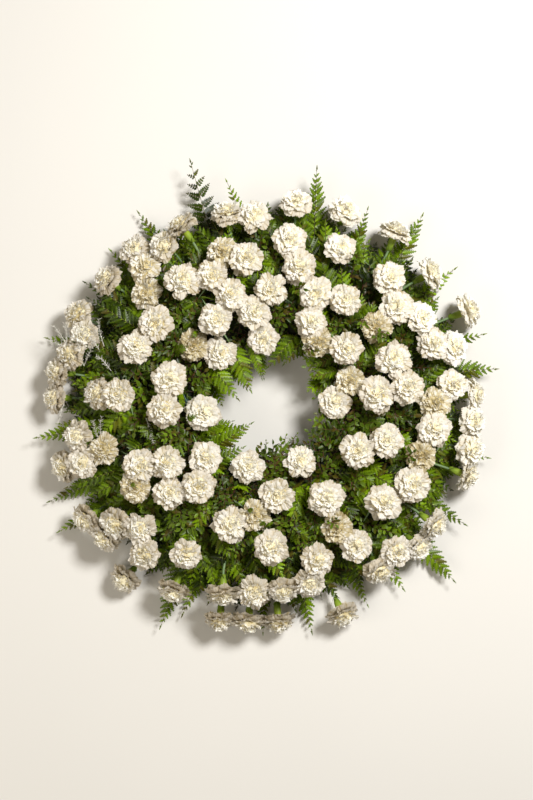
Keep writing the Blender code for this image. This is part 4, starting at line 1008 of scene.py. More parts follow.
# One large frond has side leaves far apart that are themselves cut into leaflets.
DIVIDED_FROND, DIVIDED_SPACING = 0, 18 * MM
LEAST_DIVIDED = 14 * MM
DIVIDED_LEAN, DIVIDED_TINT = (12, 42), 0.15
RIBLET_RADIUS = 0.75 * MM
LEAFLET_SPACING, LEAFLET_LENGTH = 4.4 * MM, 0.27
LEAFLET = np.array(((0, 0, 0), (0.45, 0.36, 0.04), (1, 0, -0.06), (0.45, -0.36, 0.04), (0.5, 0, 0)))
LEAFLET_FACES = np.array(((0, 4, 1), (1, 4, 2), (0, 3, 4), (3, 2, 4)))
LEAFLET_TONES = np.array((0.1, 0.1, 0.2, 0.1, 0.5))


def add_divided_pinna(gathered, place, ahead, across, up, length, tone_and_shade, rng):
    """A side leaf cut to its rib into small leaflets that shorten towards its tip."""
    count = int(length / LEAFLET_SPACING)
    shares = np.linspace(0, 1, 5)[:, None]
    rib = place + length * (shares * ahead - PINNA_SAG * shares**2 * up)
    gathered.add(*tube(rib, [RIBLET_RADIUS] * len(rib), 3), (0.5, tone_and_shade, rng.uniform()), 1)
    each = rng.uniform()
    for k in range(count + 1):
        share = (k + 0.4) / (count + 0.5)
        root = place + length * (share * ahead - PINNA_SAG * share**2 * up)
        size = length * LEAFLET_LENGTH * (1 - share**1.8) + 1.5 * MM
        for way in (-1, 1):
            out = unit(way * across + rng.uniform(0.5, 0.8) * ahead + rng.uniform(-0.15, 0.15) * up)
            leaflet = in_axes(LEAFLET, root, size * out, size * np.cross(up, out), size * up)
            shades = leaf_shades(LEAFLET_TONES, tone_and_shade, 0.8 * each + 0.1 * rng.uniform())
            gathered.add(leaflet, LEAFLET_FACES, shades)


def add_frond(gathered, blooms, blade, rng, tone_and_shade, droop=FROND_DROOP, divided=False):
    """A frond along a blade's rib, its side leaves shorter towards its tip. Those in a head are left out."""
    shares = np.linspace(0, 1, 12)
    rib = [curve(blade.control, t) for t in shares]
    gathered.add(*tube(rib, STALK_RADIUS * (1 - 0.7 * shares), 3), (0.5, tone_and_shade, rng.uniform()), 1)
    span = 1 - blade.bare
    run = span * sum(np.linalg.norm(b - a) for a, b in zip(rib, rib[1:]))
    wanted = min(MOST_SPACING, max(LEAST_SPACING, PINNA_SPACING * blade.half_width))
    pairs = max(4, round(run / (DIVIDED_SPACING if divided else wanted)))
    spacing = run / pairs
    foot_lean, tip_lean = DIVIDED_LEAN if divided else FROND_LEAN
    for k in range(pairs):
        share = (k + 0.3) / pairs
        width = blade.half_width * (1 - share**1.7) * min(1, 0.80 + 1.2 * share)
        lean = radians(foot_lean + (tip_lean - foot_lean) * share) + rng.uniform(-0.08, 0.08)
        for way in (-1, 1):
            t = min(0.985, blade.bare + span * (share + 0.25 / pairs * (way > 0)))
            place, side, normal = blade.frame(t)
            along = np.cross(normal, side)
            length = width / cos(lean) * rng.uniform(0.9, 1.06)
            if length < LEAST_PINNA:
                continue
            ahead = unit(way * side * cos(lean) + along * sin(lean) - normal * droop * rng.uniform(0.2, 1.2))
            up = unit(normal - ahead * (normal @ ahead) + 0.25 * rng.normal(0, 1) * along)
            up = unit(up - ahead * (up @ ahead))
            across = np.cross(up, ahead)
            ends = place + np.outer((0.55, 1.0), length * ahead)
            if blooms.gap_at(ends).min() < -PINNA_IN_HEAD:
                continue
            if divided and length > LEAST_DIVIDED:
                add_divided_pinna(gathered, place, ahead, across, up, length, tone_and_shade, rng)
                continue
            teeth = 7 if length > LONG_PINNA else 5 if length > SHORT_PINNA else 4
            cut = 0.55 if length > LONG_PINNA else 0.34
            fill = min(1.7, max(0.8, 1.5 * spacing / (PINNA_WIDTH * length)))
            add_pinna(
                gathered, place, ahead, across, up, length, teeth, cut, tone_and_shade, rng, PINNA_BEND * way, fill
            )
    end, side, normal = blade.frame(0.98)
    along = np.cross(normal, side)
    length = min(9 * MM, spacing)
    add_pinna(gathered, end, along, np.cross(normal, along), normal, length, 4, 0.3, tone_and_shade, rng)


# Small-leaved sprigs.

SPRIG_SEED = 700
TWIG_RADII = (0.9, 0.45)  # mm, at its foot and its tip
LEAF_SPACING, LEAF_IN_HEAD = 4.8 * MM, 1 * MM
LEAF = np.array((
    (0, 0, 0), (0.30, 0.25, 0.08), (0.64, 0.22, 0.07), (1, 0, -0.06), (0.64, -0.22, 0.07),
    (0.30, -0.25, 0.08), (0.32, 0, 0), (0.66, 0, -0.01),
))
LEAF_FACES = np.array((
    (0, 6, 1), (0, 5, 6), (1, 6, 7), (1, 7, 2), (5, 4, 7), (5, 7, 6), (2, 7, 3), (7, 4, 3),
))
LEAF_TONES = np.array((0.1, 0.6, 0.8, 1.0, 0.8, 0.6, 0.0, 0.2))


def add_leafy_twig(gathered, blooms, path, leaf_length, rng, tone_and_shade, first=0.12):
    """A thin twig along a path, with small oval leaves to either side and one at its end."""
    path = np.asarray(path)
    steps = np.linalg.norm(np.diff(path, axis=0), axis=1)
    run = np.concatenate([[0], np.cumsum(steps)])
    radii = np.linspace(*TWIG_RADII, len(path)) * MM
    gathered.add(*tube(path, radii, 3), (0.5, tone_and_shade, rng.uniform()), 1)
    count = max(2, int(run[-1] * (1 - first) / LEAF_SPACING))

    def point_at(way):
        return np.array([np.interp(way, run, path[:, n]) for n in range(3)])

    for k in range(count + 1):
        at = run[-1] * (first + (1 - first) * k / count)
        place = point_at(at)
        along = unit(point_at(min(run[-1], at + 2 * MM)) - point_at(max(0, at - 2 * MM)))
        side = unit(np.cross(along, (0.1, 0.05, 1)))
        up = np.cross(side, along)
        way = 1 if k % 2 else -1
        spread = rng.uniform(0.75, 1.25) if k < count else 0.0
        roll = rng.normal(0, 0.35)
        ahead = unit(along * cos(spread) + way * side * sin(spread) + up * rng.uniform(-0.15, 0.45))
        lift = unit(up - ahead * (up @ ahead))
        across = np.cross(lift, ahead) * cos(roll) + lift * sin(roll)
        length = leaf_length * rng.uniform(0.75, 1.2)
        if blooms.gap_at(place + ahead * length)[0] < -LEAF_IN_HEAD:
            continue
        leaf = in_axes(LEAF, place, ahead * length, across * length, np.cross(ahead, across) * length)
        gathered.add(leaf, LEAF_FACES, leaf_shades(LEAF_TONES, tone_and_shade, rng.uniform()))


def add_sprig(gathered, blooms, blade, leaf_length, rng, tone_and_shade):
    """A sprig of several leafy twigs, spread as the blade's leaflets are."""
    main = curve_points(blade.control, 9)
    add_leafy_twig(gathered, blooms, main, leaf_length, rng, tone_and_shade, first=0.3)
    for k, pair in enumerate(blade.leaflet_tips()):
        root = curve(blade.control, blade.bare + (k - 0.2) * blade.step)
        for tip in pair:
            middle = 0.5 * (root + tip) + (0, 0, 2 * MM)
            add_leafy_twig(gathered, blooms, [root, middle, tip], leaf_length, rng, tone_and_shade)


# The greens that fill between the flowers.

FILL_FRONDS, FILL_SPRIGS, BACK_FRONDS = 16, 7, 11  # in each part of the ring
# Each kind of filler: how far below the crown its tip is, how far from the middle and how wide half of it is,
# each between two values, then its pairs of leaflets, how much of its rib is bare, and how blunt it is.
FILL_FERN = ((18 * MM, 48 * MM), (110 * MM, 360 * MM), (22 * MM, 32 * MM), 6, 0.22, 0.0)
BACK_FERN = ((25 * MM, 75 * MM), (290 * MM, 385 * MM), (30 * MM, 40 * MM), 6, 0.25, 0.0)
FILL_SPRIG = ((15 * MM, 50 * MM), (120 * MM, 330 * MM), (13 * MM, 20 * MM), 2, 0.4, 1.0)
FILL_BACK = (20, 60)  # mm, how much further in than its tip a filler's root lies
HOLE_WIDER = 1.2  # the fronds over the hole are the fullest
FILL_TRIES = 12
ROOM_WORTH, ROOM_NEEDED = 3000, 1 * MM  # open cells that a metre of room is worth, and the most that counts
COVER_CELL, COVER_REACH = 8 * MM, 400 * MM
COVER_INNER, COVER_OUTER = 112 * MM, 362 * MM
FILL_LEAF = (7 * MM, 15 * MM)  # the length of a small leaf changes between these from sprig to sprig
BED_SEED, BED_LEAVES, BED_TWIGS = 500, 80, 26  # on each part of the bed
BED_LUMPS, BED_CORE = 1.6 * MM, 35 * MM  # how high its skin is lumpy, and the height of its core

# Greens that lie over petals: photo x and y of the tip, then of the place between the heads where they rise,
# and half their width in mm.
OVER_FERNS = (
    (187, 347, 172, 352, 13), (193, 336, 203, 331, 10), (197, 415, 184, 421, 9), (361, 307, 370, 312, 8),
    (252, 512, 246, 500, 11), (260, 520, 268, 528, 10), (137, 487, 127, 476, 9), (74, 384, 98, 430, 20),
    (452, 500, 424, 468, 20), (181, 560, 199, 508, 20),
)
OVER_SPRIGS = (
    (351, 254, 364, 258, 8), (366, 325, 357, 318, 9), (376, 336, 386, 331, 8), (303, 290, 293, 290, 8),
    (314, 350, 302, 350, 7), (413, 452, 402, 459, 9), (335, 524, 328, 516, 8), (331, 324, 331, 338, 12),
)

# Thin twigs that curl out over the hole, and slender leaves that show between the heads: photo x and y of
# four points along each, its height above the ground at both ends in mm, its radius or half its width in mm.
HOLE_TWIGS = (
    ((287, 458), (288, 448), (292, 440), (297, 434), 66, 92, 0.6),
    ((287, 458), (287, 446), (283, 441), (286, 436), 66, 90, 0.6),
    ((270, 460), (274, 442), (281, 440), (282, 449), 66, 82, 0.8),
    ((262, 462), (264, 452), (267, 446), (266, 441), 66, 84, 0.7),
    ((296, 456), (303, 447), (308, 444), (312, 440), 66, 86, 0.7),
)
SHOWN_LEAVES = (
    ((192, 300), (198, 296), (206, 296), (216, 301), 84, 92, 2.2),
    ((301, 516), (301, 506), (294, 500), (297, 487), 78, 104, 2.4),
)
# Greens that reach out over the hole or the rim: photo x and y of the tip, then of the root, the tip's height
# and half the width in mm, and for fern how light it is, the darkest ones partly a painted shade.
HOLE_FERNS = (
    (264, 458, 262, 486, 84, 20, 0.15), (273, 452, 272, 486, 80, 22, 0.1), (282, 450, 284, 484, 78, 24, 0.2),
    (292, 452, 294, 482, 76, 22, 0.1), (316, 438, 338, 452, 78, 16, 0.1), (314, 426, 340, 436, 76, 16, 0.15),
    (311, 366, 341, 354, 88, 15, 0.2), (309, 379, 343, 368, 90, 13, 0.55), (318, 352, 344, 344, 84, 14, 0.1),
    (268, 367, 300, 332, 88, 24, 0.3), (284, 364, 308, 336, 82, 20, 0.25), (252, 423, 214, 446, 92, 22, 0.55),
    (244, 447, 212, 462, 86, 20, 0.45), (233, 421, 196, 430, 94, 16, 0.5), (238, 399, 216, 366, 94, 24, 0.65),
    (251, 391, 238, 354, 98, 26, 0.65), (208, 398, 200, 376, 84, 20, 0.45), (262, 379, 250, 340, 92, 16, 0.6),
    (58, 424, 120, 430, 66, 26, 0.6), (71, 380, 120, 410, 84, 24, 0.35), (66, 412, 120, 400, 72, 24, 0.35),
    (88, 298, 140, 330, 88, 24, 0.1), (74, 342, 130, 352, 80, 24, 0.12), (98, 350, 140, 372, 92, 20, 0.15),
    (84, 282, 140, 312, 66, 24, 0.12), (66, 488, 122, 470, 62, 24, 0.3), (92, 494, 130, 480, 70, 22, 0.45),
)
HOLE_SPRIGS = (
    (266, 450, 270, 482, 92, 12), (273, 445, 276, 482, 97, 12), (281, 442, 284, 480, 94, 13),
    (289, 445, 291, 478, 90, 12), (261, 446, 262, 480, 82, 10), (298, 443, 300, 478, 84, 10),
    (277, 452, 278, 484, 80, 14), (269, 456, 266, 484, 86, 13), (286, 454, 288, 482, 88, 13),
    (293, 450, 296, 482, 78, 13), (309, 432, 334, 444, 90, 13), (312, 421, 338, 430, 92, 12),
    (307, 444, 328, 460, 84, 11), (318, 414, 344, 418, 86, 12), (316, 398, 344, 392, 84, 12),
)
HOLE_TINT = 0.45
HOLE_LEAF, HOLE_TWIG_LEAF = 11 * MM, 6 * MM  # the length of the small leaves there
OVERLAY_CLEAR = 1.5 * MM
OVERLAY_STEP = 2 * MM
OVERLAY_LOW, OVERLAY_HIGH = 45 * MM, 20 * MM  # below and above the crown

# Bare places on the bed, in pixels, where the dark foam shows under a few grey-green strands.
BARE_PLACES = ((375, 362), (368, 423), (183, 401), (225, 485))
BARE_REACH = 13 * MM

# Pale dry twigs at the left, their near-white bark partly a painted highlight: photo x and y of four points
# along each, and its height at both ends in mm.
PALE_TWIGS = (
    ((66, 344), (62, 336), (57, 330), (53, 325), 70, 84),
    ((66, 344), (68, 334), (66, 328), (64, 322), 70, 90),
    ((84, 366), (80, 356), (78, 348), (79, 341), 66, 92),
    ((84, 366), (88, 354), (94, 346), (93, 340), 66, 96),
    ((100, 352), (96, 342), (88, 336), (80, 330), 84, 104),
    ((104, 346), (100, 334), (98, 326), (99, 318), 88, 106),
    ((104, 446), (100, 434), (99, 424), (102, 416), 76, 104),
    ((104, 446), (96, 436), (94, 428), (93, 420), 76, 100),
    ((70, 350), (62, 346), (56, 342), (50, 342), 60, 72),
    ((112, 372), (106, 364), (102, 358), (96, 356), 88, 100),
    ((64, 404), (60, 412), (60, 420), (56, 428), 70, 66),
    ((146, 418), (150, 428), (150, 436), (154, 444), 96, 104),
)
PALE_NEEDLE = 6 * MM
STRANDS, STRAND_HALF, STRAND_FALLS, STRAND_RADIUS = 4, 20 * MM, 7 * MM, 0.5 * MM


def bare_points():
    """The middles of the bare places, on top of the bed."""
    return [photo_point(x, y, FOAM_TOP + MOSS_THICK) for x, y in BARE_PLACES]


def near_bare(point):
    return min(hypot(*(point - bare)[:2]) for bare in bare_points()) < BARE_REACH


def drawn_path(row, count=9):
    """Points along a curve through the photograph's pixels, from its first height to its last."""
    heights = [row[4] + (row[5] - row[4]) * k / 3 for k in range(4)]
    control = [photo_point(x, y, z * MM) for (x, y), z in zip(row[:4], heights)]
    return curve_points(control, count)


def add_pale_twig(gathered, path, rng):
    """A thin dry twig set with short pale needles to either side."""
    gathered.add(*tube(path, np.linspace(0.8, 0.4, len(path)) * MM, 4), (0.5, 0.5, rng.uniform()), 2)
    for k in range(2, len(path) - 1):
        along = unit(path[k + 1] - path[k - 1])
        for way in (-1, 1):
            side = way * unit(np.cross(along, (0, 0, 1)))
            ahead = unit(side + rng.uniform(0.5, 1.4) * along + (0, 0, rng.uniform(-0.4, 0.7)))
            root = path[k] + rng.uniform(-1.5, 1.5) * MM * along
            end = root + PALE_NEEDLE * rng.uniform(0.6, 1.3) * ahead
            needle = tube([root, 0.5 * (root + end), end], [0.45 * MM, 0.55 * MM, 0.3 * MM], 3)
            gathered.add(*needle, (0.5, 0.5, rng.uniform()), 2)


def laid_over(point, blooms):
    """The point, lowered from above the crown until it lies on a head or is well below the crown."""
    point, crown = point.copy(), crown_height(ring_radius(point))
    point[2] = crown + OVERLAY_HIGH
    while point[2] > crown - OVERLAY_LOW and blooms.gap_at(point)[0] > OVERLAY_CLEAR:
        point[2] -= OVERLAY_STEP
    return point


def overlay_path(row):
    """The way of a sprig or frond that rises between the heads and lies over the petals at its tip."""
    blooms = layout()[0]
    root = photo_point(row[2], row[3], FOAM_TOP + 0.5 * MOSS_THICK)
    tip = laid_over(photo_point(row[0], row[1], FACES_HEIGHT), blooms)
    edge = laid_over(0.55 * root + 0.45 * tip, blooms) + (0, 0, 3 * MM)
    return root, 0.9 * root + 0.1 * edge + (0, 0, 0.6 * (edge[2] - root[2])), edge, tip


def hole_path(row):
    """The way of a sprig or frond that rises from the bed and arches out over the hole or the rim."""
    start = photo_point(row[2], row[3], FOAM_TOP)
    root = moss_root(ring_angle(start), ring_radius(start))
    tip = photo_point(row[0], row[1], row[4] * MM)
    middle = 0.4 * root + 0.6 * tip
    middle[2] = tip[2] + 5 * MM
    return root, 0.8 * root + 0.2 * middle + (0, 0, 0.7 * (tip[2] - root[2])), middle, tip


class Cover:
    """The ground under the wreath in square cells, and which of them nothing hides from above yet."""

    def __init__(self, blooms):
        self.across = int(2 * COVER_REACH / COVER_CELL) + 1
        places = (np.arange(self.across) + 0.5) * COVER_CELL - COVER_REACH
        x, y = np.meshgrid(places, places, indexing="ij")
        radius = np.hypot(x, y)
        self.open = (radius > COVER_INNER) & (radius < COVER_OUTER)
        for centre, size in zip(blooms.centres, blooms.radii):
            self.open &= np.hypot(x + RING_X - centre[0], y + RING_Y - centre[1]) > 0.85 * size

    def cells(self, points):
        cells = ((points[:, :2] - (RING_X, RING_Y) + COVER_REACH) / COVER_CELL).astype(int)
        cells = np.clip(cells, 0, self.across - 1)
        return np.unique(cells[:, 0] * self.across + cells[:, 1])

    def gain(self, points):
        return int(self.open.ravel()[self.cells(points)].sum())

    def mark(self, points):
        self.open.ravel()[self.cells(points)] = False


def filler_blade(rng, sector, blooms, cover, filler):
    """Of several arching blades from the bed, the one clear of the heads that hides most open ground."""
    depth, rise_out, half, pairs, bare, blunt = filler
    best = None
    for _ in range(FILL_TRIES):
        angle = (sector + rng.uniform(0, 1)) * SECTOR_TURN
        radius = rng.uniform(*rise_out)
        tip = ring_point(angle + rng.uniform(-0.2, 0.2), radius, 0)
        tip[2] = max(12 * MM, crown_height(radius) - rng.uniform(*depth))
        root = moss_root(clamped_angle(angle, sector, FROND_MARGIN), radius - rng.uniform(*FILL_BACK) * MM)
        middle = 0.55 * root + 0.45 * tip
        middle[2] = max(root[2], tip[2]) * 0.5 + 0.5 * root[2] + 12 * MM
        control = (root, 0.6 * root + 0.4 * middle + (0, 0, 8 * MM), middle * 0.5 + tip * 0.5, tip)
        blade = Blade(control, rng.uniform(*half), pairs, bare, blunt)
        room = blooms.gap_at(blade.samples()[4:]).min()
        score = min(room, ROOM_NEEDED) * ROOM_WORTH + cover.gain(blade.all_points())
        if best is None or score > best[0]:
            best = (score, blade)
    cover.mark(best[1].all_points())
    return best[1]


def rising_in(sector, rows, way_of):
    """Each of the rows whose way rises from this part of the ring, with that way."""
    for row in rows:
        way = way_of(row)
        if sector_of(way[0]) == sector:
            yield row, way


def bed_surface(sector):
    """The bed's closed skin over one part of the ring, with a lumpy outside."""
    outline = np.array(moss_outline())
    corners = outline[[3, 4, 5, 6, 7, 0]]
    section = []
    for a, b in zip(corners[:-1], corners[1:]):
        count = max(2, int(np.linalg.norm(b - a) / (7 * MM)))
        section += [a + (b - a) * k / count for k in range(count)]
    section = np.array(section + [outline[0], outline[1], outline[2]])
    out = np.array([1.0] * (len(section) - 3) + [0, 0, 0])
    middle = np.array([BED_MIDDLE, BED_CORE])
    spare = GAP / 2 / TRAY_INNER
    turns = np.linspace(sector * SECTOR_TURN + spare, (sector + 1) * SECTOR_TURN - spare, 12)
    points = []
    for turn in turns:
        for (r, z), share in zip(section, out):
            lump = np.sin(61 * turn + 210 * r) * np.sin(47 * turn - 330 * z)
            lump += 0.6 * np.sin(150 * turn + 400 * z)
            away = unit(np.array([r, z]) - middle)
            push = share * BED_LUMPS * lump
            points.append(ring_point(turn, r + away[0] * push, z + away[1] * push))
    count = len(section)
    faces = list(grid_faces(count, len(turns) - 1, closed=True))
    last = (len(turns) - 1) * count
    for k in range(1, count - 1):
        faces += [(0, k + 1, k), (last, last + k, last + k + 1)]
    return np.array(points), np.array(faces)


def bed_places(sector, count, rng):
    """Places on the bed's outside, each with the way out of it: most on top, some at rim and hole."""
    inner, outer = TRAY_INNER - MOSS_THICK, TRAY_OUTER + MOSS_THICK
    top = FOAM_TOP + MOSS_THICK
    for _ in range(count):
        angle = (sector + rng.uniform(0.02, 0.98)) * SECTOR_TURN
        where = rng.uniform()
        if where < 0.62:
            place = ring_point(angle, rng.uniform(inner + 12 * MM, outer - 12 * MM), top)
            yield place, np.array([0, 0, 1.0])
            continue
        facing = 1 if where < 0.86 else -1
        radius = outer - 3 * MM if facing > 0 else inner + 3 * MM
        place = ring_point(angle, radius, rng.uniform(MOSS_FOOT, top))
        yield place, unit([facing * cos(angle), facing * sin(angle), 0.3])


def add_bed_leaves(gathered, sector, rng):
    """Short pieces of fern that lie on the bed, apart from its bare places."""
    for place, out in bed_places(sector, BED_LEAVES, rng):
        side, _ = frame_of(out, rng.uniform(0, 2 * pi))
        if near_bare(place):
            continue
        ahead = unit(side + out * rng.uniform(0.15, 0.7))
        up = unit(out - ahead * (out @ ahead))
        # Leaves on the bed get low tones, a painted shade for their place deep under the heads.
        size, tone_and_shade = rng.uniform(18, 32) * MM, rng.uniform(0, 0.35)
        add_pinna(gathered, place, ahead, np.cross(up, ahead), up, size, 6, 0.4, tone_and_shade, rng, slot=1)


def add_bed_twigs(gathered, sector, rng):
    """Dry stalks that loop in and out of the bed."""
    for place, out in bed_places(sector, BED_TWIGS, rng):
        side, other = frame_of(out, rng.uniform(0, 2 * pi))
        length = rng.uniform(14, 30) * MM
        control = (place - side * length, place + out * rng.uniform(2, 10) * MM - other * 6 * MM,
                   place + out * rng.uniform(6, 22) * MM + other * 6 * MM,
                   place + side * length + out * rng.uniform(-2, 26) * MM)
        gathered.add(*tube(curve_points(control, 7), np.linspace(1.1, 0.6, 7) * MM, 4), (0, 0, 0), 2)


def add_strands(gathered, bare, rng):
    """A few pale strands that cross a bare place."""
    for _ in range(STRANDS):
        turn = rng.uniform(0, pi)
        way = np.array([cos(turn), sin(turn), 0])
        middle = bare + rng.normal(0, 4 * MM, 3) * (1, 1, 0) + (0, 0, rng.uniform(5, 9) * MM)
        ends = [middle + s * way * STRAND_HALF - (0, 0, STRAND_FALLS * abs(s)) for s in (-1, 0, 1)]
        gathered.add(*tube(ends, [STRAND_RADIUS] * 3, 4), (0, 0, 0), 3)


# Materials.

# Settings of nodes: to mix two colours, to multiply them, and to work with numbers.
BLEND = {"data_type": "RGBA"}
SHADE = {"data_type": "RGBA", "blend_type": "MULTIPLY"}
TIMES, TIMES_PLUS, POWER = [{"operation": name} for name in ("MULTIPLY", "MULTIPLY_ADD", "POWER")]


def linear(hex_color):
    """A colour given as sRGB hex, turned to linear light."""
    parts = [int(hex_color[k:k + 2], 16) / 255 for k in (0, 2, 4)]
    return tuple(p / 12.92 if p <= 0.04045 else ((p + 0.055) / 1.055) ** 2.4 for p in parts)


def feed(tree, node, **links):
    """Sets inputs of a node, each to a number, a colour or the output that feeds it.

    An input is named, with _ for a space, or numbered as i0. A colour is sRGB hex or three linear values.
    """
    for name, value in links.items():
        socket = node.inputs[int(name[1:]) if name[1:].isdigit() else name.replace("_", " ")]
        if isinstance(value, bpy.types.NodeSocket):
            tree.links.new(value, socket)
        elif socket.type == "RGBA":
            socket.default_value = (*(linear(value) if isinstance(value, str) else value), 1)
        else:
            socket.default_value = value


def add_node(tree, kind, settings=None, **links):
    """Adds a node with its settings, which may be a ramp's stops, and its inputs. Gives back its outputs."""
    made = tree.nodes.new("ShaderNode" + kind)
    for name, value in (settings or {}).items():
        if name == "stops":
            elements = made.color_ramp.elements
            while len(elements) < len(value):
                elements.new(0.5)
            for element, (place, color) in zip(elements, value):
                element.position = place
                element.color = (*(linear(color) if isinstance(color, str) else color), 1)
        else:
            setattr(made, name, value)
    feed(tree, made, **links)
    return made.outputs


def new_finish(name, **values):
    """A material with its shader's plain values set, its node tree, its shader and a place in the object."""
    material = bpy.data.materials.new(name)
    material.use_nodes = True
    tree = material.node_tree
    shader = tree.nodes["Principled BSDF"]
    feed(tree, shader, **values)
    return material, tree, shader, add_node(tree, "TexCoord")["Object"]


def shades_of(tree):
    """The three shade values that every point of a piece carries."""
    made = add_node(tree, "Attribute", {"attribute_name": "shade"})
    return add_node(tree, "SeparateXYZ", Vector=made["Vector"])


def petal_finish(flowers):
    """Carnation petal: thin, dull and faintly ribbed, so light comes through it and its folds glow cream."""
    material, tree, shader, place = new_finish(
        "carnation petal", Roughness=0.55, Sheen_Weight=0.1, Specular_IOR_Level=0.2
    )
    along, heart, ridge = shades_of(tree)
    # Petals turn yellow towards their feet, the inner ones more than the outer: partly their own pale yellow,
    # partly a painted warm shade deep in the head.
    deep = add_node(tree, "MapRange", Value=along, From_Min=0.25, From_Max=0.88, To_Min=1.0, To_Max=0.04)[0]
    warm = add_node(tree, "MapRange", Value=heart, From_Min=0.0, From_Max=0.9, To_Min=0.20, To_Max=1.0)[0]
    share = add_node(tree, "Math", TIMES, i0=deep, i1=warm)[0]
    color = add_node(tree, "Mix", BLEND, i0=share, i6=flowers.petal_edge, i7=flowers.petal_heart)[2]
    # The outer petals are painted a warmer, darker white, partly their age and partly a painted shade from
    # the heads that crowd them. The folds get a painted warm shade.
    aged_and_shaded = add_node(tree, "MapRange", Value=heart, From_Max=0.75, To_Min=0.95, To_Max=0.0)[0]
    color = add_node(tree, "Mix", SHADE, i0=aged_and_shaded, i6=color, i7="D4CABA")[2]
    # Painted shade in the folds: where a petal's third shade value is low, its colour is darkened to warm
    # brown-grey.
    folds = {"stops": ((0.0, "9C8C60"), (0.3, "D8CDAC"), (0.6, "FFFFFF"))}
    folds = add_node(tree, "ValToRGB", folds, Fac=ridge)[0]
    color = add_node(tree, "Mix", SHADE, i0=1.0, i6=color, i7=folds)[2]
    # The skin is crinkled about every 1.2 mm. The real veins are 0.6 mm apart, too fine to show.
    crinkles = add_node(tree, "TexNoise", Vector=place, Scale=800.0, Detail=2.0)[0]
    normal = add_node(tree, "Bump", Height=crinkles, Strength=0.25, Distance=0.3 * MM)[0]
    feed(tree, shader, Base_Color=color, Normal=normal)
    glow = add_node(tree, "Mix", BLEND, i0=0.6, i6=color, i7=flowers.petal_heart)[2]
    through = add_node(tree, "BsdfTranslucent", Color=glow, Normal=normal)[0]
    both = add_node(tree, "MixShader", Fac=PETAL_THROUGH, i1=shader.outputs[0], i2=through)[0]
    feed(tree, tree.nodes["Material Output"], Surface=both)
    return material


def leaf_finish(name, dark, light, roughness, fresh):
    """Waxy leaf: greens that vary from leaf to leaf with painted shade, lighten to tip and midrib, a few gone
    brown.
    """
    material, tree, shader, place = new_finish(name, Roughness=roughness, Specular_IOR_Level=0.2)
    along, tone_and_shade, each = shades_of(tree)
    # The blade puckers about every 4 mm between its veins.
    puckers = add_node(tree, "TexNoise", Vector=place, Scale=260.0, Detail=3.0)[0]
    # How light a point is: a random share per leaf, its tone and any painted shade, its place on the leaf,
    # puckers.
    total = add_node(tree, "Math", TIMES_PLUS, i0=each, i1=0.40, i2=tone_and_shade)[0]
    total = add_node(tree, "Math", TIMES_PLUS, i0=along, i1=0.30, i2=total)[0]
    total = add_node(tree, "Math", TIMES_PLUS, i0=puckers, i1=0.30, i2=total)[0]
    share = add_node(tree, "MapRange", Value=total, From_Min=0.30, From_Max=1.70)[0]
    share = add_node(tree, "Math", POWER, i0=share, i1=1.6)[0]
    color = add_node(tree, "Mix", BLEND, i0=share, i6=dark, i7=light)[2]
    brown = add_node(tree, "MapRange", Value=each, From_Min=fresh, From_Max=fresh + 0.08, To_Max=0.8)[0]
    color = add_node(tree, "Mix", BLEND, i0=brown, i6=color, i7="47380F")[2]
    midrib = add_node(tree, "MapRange", Value=along, From_Min=1.2, From_Max=RIB_TONE, To_Max=0.45)[0]
    color = add_node(tree, "Mix", BLEND, i0=midrib, i6=color, i7="A9C440")[2]
    normal = add_node(tree, "Bump", Height=puckers, Strength=0.3, Distance=0.3 * MM)[0]
    feed(tree, shader, Base_Color=color, Normal=normal)
    return material


def stem_finish(greens):
    """Carnation stem: bright green calyx, running into a grey-green stem with a waxy bloom."""
    material, tree, shader, place = new_finish("carnation stem", Roughness=0.5, Specular_IOR_Level=0.35)
    along, stem, _ = shades_of(tree)
    # The bloom is rubbed off in patches about 7 mm long.
    patches = add_node(tree, "TexNoise", Vector=place, Scale=140.0, Detail=2.0)[0]
    calyx = {"stops": ((0, "A2B238"), (0.5, greens.calyx), (1, "5E762C"))}
    calyx = add_node(tree, "ValToRGB", calyx, Fac=along)[0]
    bloom = add_node(tree, "ValToRGB", {"stops": ((0.3, "5F7A50"), (0.7, greens.stem))}, Fac=patches)[0]
    color = add_node(tree, "Mix", BLEND, i0=stem, i6=calyx, i7=bloom)[2]
    normal = add_node(tree, "Bump", Height=patches, Strength=0.15, Distance=0.3 * MM)[0]
    feed(tree, shader, Base_Color=color, Normal=normal)
    return material


def bark_finish(name, dark, light):
    """Thin stalk or twig: dull bark that changes between two browns every 4 or 5 mm."""
    material, tree, shader, place = new_finish(name, Roughness=0.6)
    patches = add_node(tree, "TexNoise", Vector=place, Scale=220.0, Detail=2.0)[0]
    color = add_node(tree, "ValToRGB", {"stops": ((0.3, dark), (0.7, light))}, Fac=patches)[0]
    feed(tree, shader, Base_Color=color)
    return material


def bed_finish():
    """Bed of packed fern stalks and moss: dark green broken by brown, bare to dark foam in four places."""
    material, tree, shader, place = new_finish("packed greens", Roughness=0.85)
    # Clumps are about 11 mm across, and stalks and moss about 2.4 mm.
    clumps = add_node(tree, "TexNoise", Vector=place, Scale=90.0, Detail=5.0, Roughness=0.7)[0]
    stalks = add_node(tree, "TexNoise", Vector=place, Scale=420.0, Detail=4.0)[0]
    # The greens are painted near black, in part a painted shade for the bed deep under the heads and fronds.
    greens = {"stops": ((0.30, "0A0D05"), (0.50, "161E08"), (0.62, "2A1C0E"), (0.75, "2C3A10"))}
    color = add_node(tree, "ValToRGB", greens, Fac=clumps)[0]
    color = add_node(tree, "Mix", BLEND, i0=shades_of(tree)[0], i6=color, i7="1C3B3B")[2]
    normal = add_node(tree, "Bump", Height=stalks, Strength=0.9, Distance=2 * MM)[0]
    feed(tree, shader, Base_Color=color, Normal=normal)
    return material


